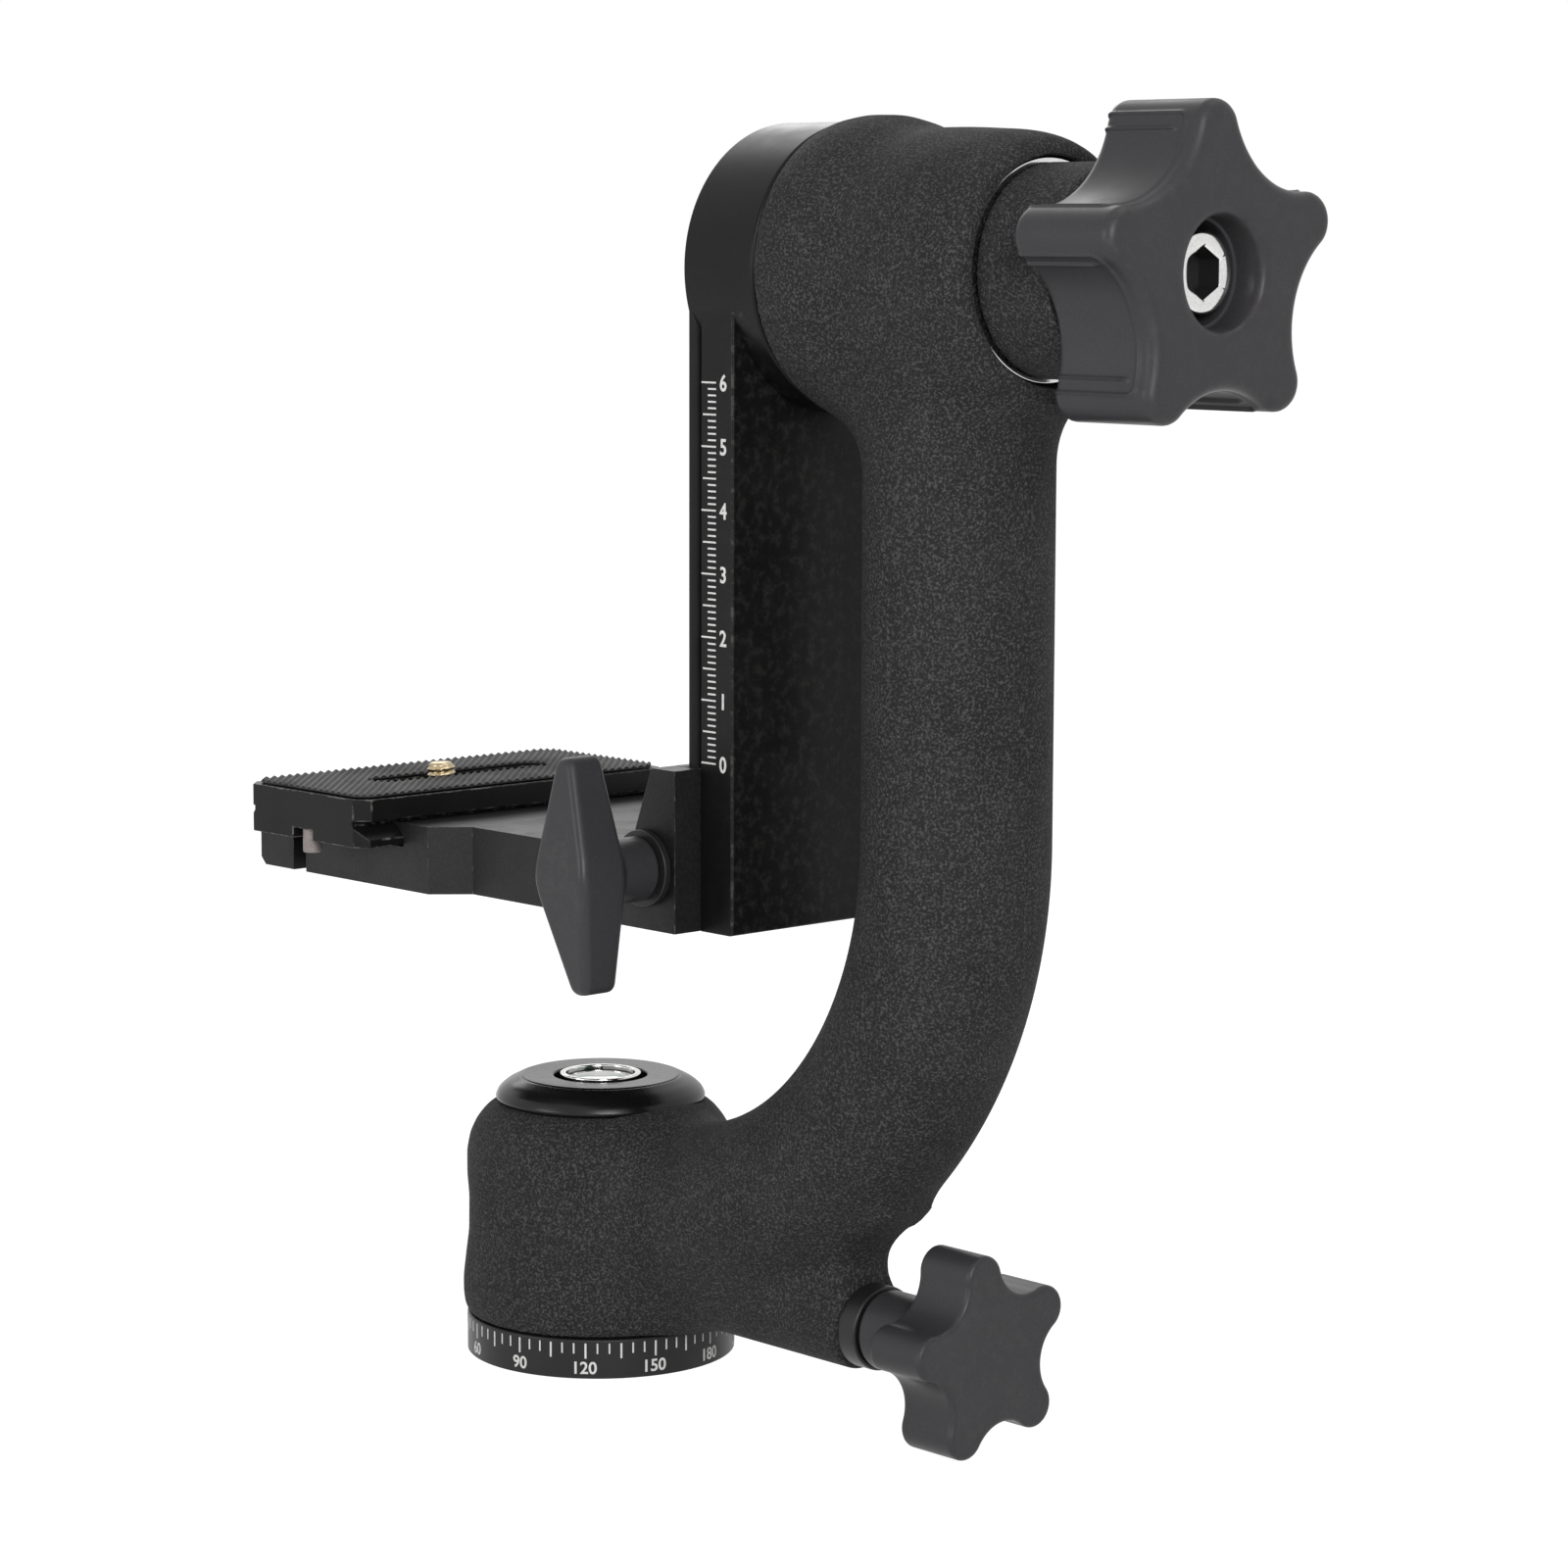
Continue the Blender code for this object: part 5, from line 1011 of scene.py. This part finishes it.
def level_green():
    """Level under its window: green fluid with painted glints as bright green patches, painted shade
    darkening it towards the rim, a dark ring for the bubble, and a pale bubble off centre.
    """
    bubble_place = (0.0009, -0.0007, 0.0590)
    material = bpy.data.materials.new("level_green")
    material.use_nodes = True
    tree = material.node_tree
    surface = tree.nodes["Principled BSDF"]
    where = add(tree, "TexCoord").outputs["Object"]
    parts = add(tree, "SeparateXYZ", Vector=where)
    from_axis = maths(tree, "SQRT", maths(tree, "ADD", maths(tree, "POWER", parts.outputs["X"], 2.0),
                                          maths(tree, "POWER", parts.outputs["Y"], 2.0)))
    off = add(tree, "VectorMath", {"operation": "DISTANCE"}, i0=where)
    off.inputs[1].default_value = bubble_place
    cloud = add(tree, "TexNoise", Vector=where, Scale=520.0, Detail=2.0)
    # Painted glints: bright green patches in the dark green fluid.
    glint_patches = ramp(tree, cloud.outputs["Fac"], 0.46, 0.60)
    green_and_glints = mixed(tree, glint_patches, (0.004, 0.030, 0.012), (0.03, 0.36, 0.12))
    # Painted shade: darker towards the rim, under the ring.
    edge = mixed(tree, ramp(tree, from_axis, 0.0052, 0.0064), green_and_glints, (0.003, 0.006, 0.005))
    from_line = maths(tree, "ABSOLUTE", maths(tree, "SUBTRACT", from_axis, 0.0030))
    line = maths(tree, "SUBTRACT", 1.0, ramp(tree, from_line, 0.00012, 0.00026))
    ringed = mixed(tree, line, edge, (0.004, 0.004, 0.004))
    bubble = maths(tree, "SUBTRACT", 1.0, ramp(tree, off.outputs["Value"], 0.0015, 0.0019))
    colour = mixed(tree, maths(tree, "MULTIPLY", bubble, 0.85), ringed, (0.50, 0.42, 0.36))
    tree.links.new(colour, surface.inputs["Base Color"])
    surface.inputs["Roughness"].default_value = 0.06
    surface.inputs["Coat Weight"].default_value = 1.0
    surface.inputs["Coat Roughness"].default_value = 0.03
    return material


def build_turned():
    """The collars, the rings and the stop pin."""
    stud_room = 3.3
    low, high = span("pan_lock_collar")
    section = ring_profile(stud_room, high[1], low[0], high[0], 0.6)
    ring = turned("pan_collar_finished", section, pan_lock_axis, 96, True)
    finished(shaded(ring, 40), collar_black, "arm", "pan_lock_collar")
    shaft_room = 10.3
    low, high = span("tilt_end_ring")
    section = ring_profile(shaft_room, high[1], low[0], high[0], 0.4)
    ring = turned("end_ring_finished", section, tilt_axis, 160, True)
    finished(shaded(ring, 40), bright_chrome, "arm", "tilt_end_ring")
    low, high = span("tilt_collar")
    radius, left, right, thread_room, step = high[1], low[0], high[0], 6.3, low[0] + 7.5
    section = rounded([(shaft_room, left), (radius, left), (radius, right), (thread_room, right),
                       (thread_room, step), (shaft_room, step)], [0.2, 1.0, 1.0, 0.2, 0.2, 0.2], 6, True)
    ring = turned("tilt_collar_finished", section, tilt_axis, 160, True)
    finished(shaded(ring, 40), sand_paint, "tilt_clamp", "tilt_collar")
    low, high = span("height_washer")
    section = ring_profile(stud_room, (high[2] - low[2]) / 2, -high[1], -low[1], 0.3)
    ring = turned("washer_finished", section, height_axis, 64, True)
    finished(shaded(ring, 40), dark_steel_and_socket_shade, "height_lock", "height_washer")
    low, high = span("plate_stop_pin")
    pin_axis = Axis(UP, (*((low + high) / 2)[:2], 0))
    head, tip, shoulder = 2.0, 1.0, high[2] - 3.2
    profile = rounded([(0, low[2]), (head, low[2]), (head, shoulder), (tip, shoulder), (tip, high[2]),
                       (0, high[2])], [0, 0.4, 0.3, 0.1, 0.2, 0], 5)
    pin = turned("stop_pin_finished", profile, pin_axis, 64)
    finished(shaded(pin, 40), pin_grey, "lens_plate", "plate_stop_pin")


def build_camera_screw():
    """The screw, whose thread is a helix.

    Its radius is the core plus the thread's depth times w, where w is a triangle wave of
    height / pitch - angle / turn.
    """
    low, high = span("camera_screw")
    core, thread_depth, pitch = 2.55, 0.55, 1.27
    head_radius, head_edge = 6.4, 0.3
    angle = np.linspace(0, FULL_TURN, 72, endpoint=False)
    levels = np.linspace(high[2] - 8.0, high[2] - 0.5, 60)[:, None]
    wave = np.abs((((levels / pitch) - angle / FULL_TURN) % 1) * 2 - 1)
    fade = np.clip((high[2] - 0.5 - levels) / 0.4, 0, 1)
    radius = core + thread_depth * wave * fade
    shank = np.stack([radius * np.cos(angle), radius * np.sin(angle), levels + 0 * angle], -1)

    def ring(size, level):
        return np.stack([size * np.cos(angle), size * np.sin(angle), 0 * angle + level], -1)[None]

    foot, top = low[2], low[2] + 2.2
    rows = np.concatenate([
        ring(0, foot), ring(6.1, foot), ring(head_radius, foot + head_edge),
        ring(head_radius, top - head_edge), ring(6.1, top), ring(3.1, top), shank,
        ring(2.1, high[2]), ring(0, high[2])])
    screw = skin("mounting_screw", camera_axis.place(rows))
    slit = boxes("slit", np.array([[screw_middle[0], screw_middle[1], foot]]), np.array([[7.0, 0.6, 1.1]]),
                 np.eye(3)[None])
    carved(screw, slit)
    finished(shaded(screw, 50), warm_brass, "lens_screw", "camera_screw")


# Swing arm, platform, plate


RAIL_HALF = 27.0
RAIL_THICKNESS = 13.0
GROOVE_DEPTH = 1.7


def build_swing_arm():
    """The rail and its round head.

    The rail is a rectangle carried across its thickness: its rims are quarter rounds of radius
    edge, and its two long sides step in by the groove's depth between the groove's start and
    end.  The head is a turned disc across the rail's whole thickness, and stands out past it.
    """
    low, high = span("swing_arm")
    left, bottom = low[0], low[2]
    right = left + RAIL_THICKNESS
    groove_start, groove_full, groove_end, wall = left + 1.2, left + 2.2, left + 4.0, 0.01
    edge, long_count, short_count = 0.6, 40, 22
    sides = np.linspace(bottom, tilt_height, long_count)
    ends = np.linspace(-RAIL_HALF, RAIL_HALF, short_count + 2)[1:-1]
    outline = np.concatenate([
        np.stack([np.full(long_count, RAIL_HALF), sides], -1),
        np.stack([ends[::-1], np.full(short_count, tilt_height)], -1),
        np.stack([np.full(long_count, -RAIL_HALF), sides[::-1]], -1),
        np.stack([ends, np.full(short_count, bottom)], -1)])
    inward = np.zeros_like(outline)
    inward[:, 0] = np.where(np.abs(outline[:, 0]) > RAIL_HALF - 0.01, -np.sign(outline[:, 0]), 0)
    inward[:, 1] = np.where(outline[:, 1] < bottom + 0.01, 1, 0)
    long_side = (np.abs(inward[:, 0]) > 0)[:, None] * [1.0, 0.0]
    quarter = np.linspace(0, math.pi / 2, 5)
    rim = edge * (1 - np.sin(quarter))
    level = np.array([*(left + edge * (1 - np.cos(quarter))),
                      groove_start, groove_full, groove_end - wall, groove_end,
                      *(right - edge * (1 - np.cos(quarter[::-1])))])
    round_in = np.array([*rim, 0, 0, 0, 0, *rim[::-1]])[:, None, None]
    groove_in = np.array([*(0 * rim), 0, GROOVE_DEPTH, GROOVE_DEPTH, 0, *(0 * rim)])[:, None, None]
    ring = outline[None] + inward[None] * round_in + inward[None] * long_side * groove_in
    rows = np.concatenate([np.broadcast_to(level[:, None, None], (*ring.shape[:2], 1)), ring], -1)
    centre = np.array([0.0, tilt_height - 50.0])
    caps = []
    for row, at in ((rows[0], left), (rows[-1], right)):
        inner = row[:, 1:] + inward * 0.9
        flat = np.full((len(outline), 1), at)
        caps.append(np.stack([np.concatenate([flat, inner], -1),
                              np.concatenate([flat, 0 * inner + centre], -1)]))
    rail = skin("rail_finished", np.concatenate([caps[0][::-1], rows, caps[1]]))
    disc = turned("disc", rounded([(0, left), (high[1], left), (high[1], high[0]), (0, high[0])],
                                  [0, edge, 0.8, 0], 6), tilt_axis, 256)
    combined(rail, [disc], "UNION")
    flange = (span("tilt_shaft")[1][1] - span("tilt_shaft")[0][1]) / 2 + GAP
    pocket_end, pocket_floor = high[0] + OVERRUN, high[0] - 6.1
    tools = [turned("pocket", [(0, pocket_end), (flange, pocket_end), (flange, pocket_floor),
                               (0, pocket_floor)], tilt_axis, 96)]
    for k in range(1, 5):
        a, b = span("swing_screw_%d" % k)
        spot, reach, shank, seat = (a + b) / 2, (b[1] - a[1]) / 2 + GAP, 2.8, a[0] + 3.9
        line = Axis(RIGHT, (0, spot[1], spot[2]))
        tools.append(turned("hole_%d" % k, [
            (0, left - OVERRUN), (reach + 0.4, left - OVERRUN), (reach + 0.4, left - 0.1),
            (reach, left + 0.3), (reach, seat), (shank, seat), (shank, b[0] + GAP), (0, b[0] + GAP)],
            line, 48))
    carved(rail, *tools)
    p = points_of(rail)
    from_face = np.minimum(np.abs(p[:, 0] - left), np.abs(p[:, 0] - right))
    set_wear(rail, np.where(p[:, 2] < tilt_height, np.exp(-((from_face - 0.25) / 0.2) ** 2), 0))
    finished(shaded(rail, 30), rail_black, "swing", "swing_arm")


def build_brackets():
    """The cast and milled pieces that are their CAD forms with rounded edges."""
    for node, body, width, material, slot in (
            ("platform", "lens_platform", 0.55, casting_black, "black_casting"),
            ("rail_jaw", "height_jaw", 0.45, casting_black, "black_casting"),
            ("clamp_jaw", "plate_jaw", 0.5, casting_black, "black_casting"),
            ("qr_plate", "lens_plate", 0.4, plate_black, "black_anodised")):
        item = softened(node, width)
        finished(shaded(item, 32), material, body, node)


def build_pad():
    """The ribbed pad: ribs with flat tops carried at 45 degrees, cut to the pad's outline and slot.

    Across the ribs the height runs from high - depth up to high and back once a pitch, with the
    corners at the places that rib_shares gives.
    """
    low, high = span("plate_pad")
    centre, half = (low + high) / 2, (high - low) / 2
    pitch, depth, rib_reach = 1.45, 0.42, 90.0
    count = int(2 * (half[0] + half[1]) / pitch / math.sqrt(2)) + 4
    rib_shares = np.array([0.0, 0.34, 0.5, 0.84])
    across = ((np.arange(count)[:, None] + rib_shares[None]) * pitch).ravel()
    across = across - across.mean()
    level = np.tile([high[2] - depth, high[2], high[2], high[2] - depth], count)
    section = np.concatenate([np.stack([across, level], -1),
                              [[across[-1], low[2]], [across[0], low[2]]]])
    rib = np.array([-1.0, 1.0]) / math.sqrt(2)
    over = np.array([1.0, 1.0]) / math.sqrt(2)
    ends = []
    for sign in (-1, 1):
        flat = centre[:2] + over * section[:, :1] + rib * sign * rib_reach
        ends.append(np.concatenate([flat, section[:, 1:]], -1))
    n = len(section)
    u = np.arange(n)
    sides = np.stack([u, (u + 1) % n, (u + 1) % n + n, u + n], -1)
    sheet = mesh_object("pad_ribs", np.concatenate(ends), sides)
    work = bmesh.new()
    work.from_mesh(sheet.data)
    work.verts.ensure_lookup_table()
    work.faces.new([work.verts[k] for k in range(n)])
    work.faces.new([work.verts[k] for k in range(2 * n - 1, n - 1, -1)])
    bmesh.ops.recalc_face_normals(work, faces=work.faces)
    work.to_mesh(sheet.data)
    work.free()
    levels = (low[2] - OVERRUN, high[2] + OVERRUN)
    corner = 2.6
    x, y = half[0], half[1]
    plan = np.array([(-x, corner - y), (corner - x, -y), (x - corner, -y), (x, corner - y),
                     (x, y - corner), (x - corner, y), (corner - x, y), (-x, y - corner)])
    plan = rounded(plan, 0.8, 6, True) + centre[:2]
    edge = prism("pad_edge", plan, centre[:2], levels)
    combined(sheet, [edge], "INTERSECT")
    slot_radius, slot_half, slot_centre = 4.1, 19.5, np.array([centre[0], -7.0])
    angle = np.linspace(0, FULL_TURN, 64, endpoint=False)
    round_end = np.stack([slot_radius * np.cos(angle),
                          slot_radius * np.sin(angle) + slot_half * np.sign(np.sin(angle) + 1e-9)], -1)
    carved(sheet, prism("pad_slot", round_end + slot_centre, slot_centre, levels))
    finished(shaded(sheet, 25, False), grip_rubber, "lens_plate", "plate_pad")


def prism(name, outline, centre, levels):
    """A flat outline carried from the lower level to the upper one and closed towards its centre."""
    outer = np.stack([np.concatenate([outline, np.full((len(outline), 1), h)], -1) for h in levels])
    poles = [np.broadcast_to([*centre, h], (1, len(outline), 3)) for h in levels]
    return skin(name, np.concatenate([poles[0], outer, poles[1]]))


# Scales


def letters(name, text, size, thick):
    """Plain numerals as points and triangles: x to the right, y up, centred, thick along z."""
    curve = bpy.data.curves.new(name, "FONT")
    curve.body = text
    curve.size = size
    curve.align_x = "CENTER"
    curve.align_y = "CENTER"
    curve.extrude = thick / 2
    curve.offset = size * 0.018
    curve.resolution_u = 6
    item = bpy.data.objects.new(name, curve)
    bpy.context.scene.collection.objects.link(item)
    bpy.context.view_layer.update()
    mesh = bpy.data.meshes.new_from_object(item.evaluated_get(bpy.context.evaluated_depsgraph_get()))
    bpy.data.objects.remove(item)
    mesh.calc_loop_triangles()
    points = np.zeros(3 * len(mesh.vertices))
    mesh.vertices.foreach_get("co", points)
    triangles = np.zeros(3 * len(mesh.loop_triangles), np.int32)
    mesh.loop_triangles.foreach_get("vertices", triangles)
    points = points.reshape(-1, 3)
    middle_x = (points[:, 0].min() + points[:, 0].max()) / 2
    middle_y = (points[:, 1].min() + points[:, 1].max()) / 2
    return points - np.array([middle_x, middle_y, 0]), triangles.reshape(-1, 3)


def gathered(name, parts):
    """One mesh from several lists of points and triangles."""
    offset = np.cumsum([0] + [len(p) for p, _ in parts])[:-1]
    points = np.concatenate([p for p, _ in parts])
    faces = np.concatenate([f + o for (_, f), o in zip(parts, offset)])
    return tidy(mesh_object(name, points, faces), 0.0005)


def build_rail_scale():
    """Ticks every tenth of a unit on the rail's front edge, with the numerals 0 to 6 beside them."""
    low = span("swing_arm")[0]
    face_y, unit, zero, numeral = -RAIL_HALF, 12.33, 133.7, 4.4
    left = low[0]
    count = 61
    number = np.arange(count)
    height = zero + number * unit / 10
    start = np.where(number % 10 == 0, 3.9, np.where(number % 5 == 0, 4.5, 5.9)) + left
    start = np.maximum(start, left + 4.1)
    end = np.full(count, left + 8.2)
    centres = np.stack([(start + end) / 2, np.full(count, face_y - 0.02), height], -1)
    halves = np.stack([(end - start) / 2, np.full(count, 0.05), np.full(count, 0.17)], -1)
    axes = np.broadcast_to(np.eye(3), (count, 3, 3))
    ticks = boxes("rail_ticks", centres, halves, axes)
    finished(shaded(ticks, 30, False), mark_paint, "swing")
    parts = []
    for k in range(7):
        p, f = letters("numeral", str(k), numeral, 0.10)
        across, up = left + 10.3 + p[:, 0] * 0.92, zero + k * unit + p[:, 1]
        place = np.stack([across, face_y - 0.02 - p[:, 2], up], -1)
        parts.append((place, f))
    finished(shaded(gathered("rail_numerals", parts), 30, False), mark_paint, "swing")


def build_base_scale():
    """Ticks every five degrees round the base's rim and plain numerals every thirty, bent to the rim."""
    radius, top = span("pan_base")[1][0], span("pan_base")[1][2]
    zero = math.radians(-46.9 - 120.0)
    count = 72
    number = np.arange(count)
    angle = zero + number * math.radians(5)
    long = np.where(number % 3 == 0, 3.2, 2.2)
    out = np.stack([np.cos(angle), np.sin(angle), 0 * angle], -1)
    side = np.stack([-np.sin(angle), np.cos(angle), 0 * angle], -1)
    up = np.broadcast_to(UP, (count, 3))
    centres = out * radius + up * (top - 0.75 - long / 2)[:, None]
    halves = np.stack([np.full(count, 0.05), np.where(number % 3 == 0, 0.2, 0.16), long / 2], -1)
    ticks = boxes("base_ticks", centres, halves, np.stack([out, side, up], 1))
    finished(shaded(ticks, 30, False), mark_paint, "base")
    parts = []
    for k in range(12):
        p, f = letters("numeral", str(30 * k), 3.6, 0.10)
        turn = zero + math.radians(30 * k) + p[:, 0] / radius
        out_to = radius + p[:, 2]
        parts.append((np.stack([out_to * np.cos(turn), out_to * np.sin(turn), 2.35 + p[:, 1]], -1), f))
    finished(shaded(gathered("base_numerals", parts), 30, False), mark_paint, "base")


# Pieces that stay as the CAD has them


def dress_nodes():
    """Gives each CAD node that stays a fitting material."""
    wanted = {
        plain_steel: ["pan_spindle", "spindle_washer", "spindle_nut", "pan_lower_bearing",
                      "pan_upper_bearing", "pan_lock_stud", "tilt_shaft", "tilt_left_bearing",
                      "tilt_right_bearing", "height_lock_stud", "clamp_screw",
                      "clamp_guide_pin_1", "clamp_guide_pin_2", "camera_screw_washer"],
        white_nylon: ["pan_brake_shoe", "tilt_friction_washer"],
        warm_brass: ["tilt_knob_bush"],
    }
    for material, names in wanted.items():
        for name in names:
            nodes[name].data.materials.clear()
            nodes[name].data.materials.append(material)


# Floor, light and camera


def soft_light(name, where, towards, size, power):
    """A square lamp at where, facing towards; places in metres."""
    lamp = bpy.data.lights.new(name, "AREA")
    lamp.size = size
    lamp.energy = power
    item = bpy.data.objects.new(name, lamp)
    away = np.array(where) - np.array(towards)
    away = away / np.linalg.norm(away)
    side = np.cross(UP, away)
    side = side / np.linalg.norm(side)
    rows = [[side[i], np.cross(away, side)[i], away[i], where[i]] for i in range(3)]
    item.matrix_world = Matrix(rows + [[0, 0, 0, 1]])
    bpy.context.scene.collection.objects.link(item)


def pale_ray(tree):
    """1 for the rays that see the background: those of the camera, of reflections and through glass."""
    path = add(tree, "LightPath")
    seen = maths(tree, "MAXIMUM", path.outputs["Is Camera Ray"], path.outputs["Is Glossy Ray"])
    return maths(tree, "MAXIMUM", seen, path.outputs["Is Transmission Ray"])


def build_stage():
    """The floor, which glows white to those rays and keeps the shadow, the world and the lamps."""
    scene = bpy.context.scene
    scene.view_settings.view_transform = "Standard"
    half = 6000.0
    corners = np.array([[-half, -half, 0], [half, -half, 0], [half, half, 0], [-half, half, 0]])
    floor = mesh_object("floor", corners, np.array([[0, 1, 2, 3]]))
    material = bpy.data.materials.new("pale_floor")
    material.use_nodes = True
    tree = material.node_tree
    surface = tree.nodes["Principled BSDF"]
    surface.inputs["Base Color"].default_value = (0.80, 0.80, 0.80, 1)
    surface.inputs["Roughness"].default_value = 0.9
    glow = add(tree, "Emission", Strength=1.56)
    share = maths(tree, "MULTIPLY", pale_ray(tree), 0.6)
    both = add(tree, "MixShader", i0=share, i1=surface.outputs["BSDF"], i2=glow.outputs["Emission"])
    tree.links.new(both.outputs["Shader"], tree.nodes["Material Output"].inputs["Surface"])
    floor.data.materials.append(material)

    world = bpy.data.worlds.new("studio")
    scene.world = world
    world.use_nodes = True
    tree = world.node_tree
    back = tree.nodes["Background"]
    tree.links.new(ramp(tree, pale_ray(tree), 0.0, 1.0, 0.20, 1.0), back.inputs["Strength"])
    back.inputs["Color"].default_value = (1, 1, 1, 1)

    target = (0.04, 0.0, 0.14)
    soft_light("key", (1.20, -0.78, 0.62), target, 0.55, 15.0)
    soft_light("side", (-0.25, -1.30, 0.35), target, 0.50, 5.0)
    soft_light("rim", (-0.9, 0.55, 0.80), target, 0.60, 3.0)
    soft_light("top", (0.30, 0.35, 1.15), target, 0.50, 1.6)


def build_camera():
    """Stands where the photograph was taken from, looking 7.4 degrees down."""
    lens = bpy.data.cameras.new("camera")
    lens.lens = 98.09
    lens.sensor_width = 36.0
    item = bpy.data.objects.new("camera", lens)
    bpy.context.scene.collection.objects.link(item)
    yaw, pitch, roll = math.radians(47.194), math.radians(7.425), math.radians(0.17)
    place = Matrix.Translation((0.68123, -0.57805, 0.23739))
    tilted = Matrix.Rotation(math.pi / 2 - pitch, 4, "X") @ Matrix.Rotation(roll, 4, "Z")
    item.matrix_world = place @ Matrix.Rotation(yaw, 4, "Z") @ tilted
    bpy.context.scene.camera = item


build_arm()
build_tilt_knob()
build_pan_knob()
build_wing_knob()
build_clamp_knob()
build_screws()
build_base()
build_cap()
build_turned()
build_camera_screw()
build_swing_arm()
build_brackets()
build_pad()
build_rail_scale()
build_base_scale()
dress_nodes()
build_stage()
build_camera()
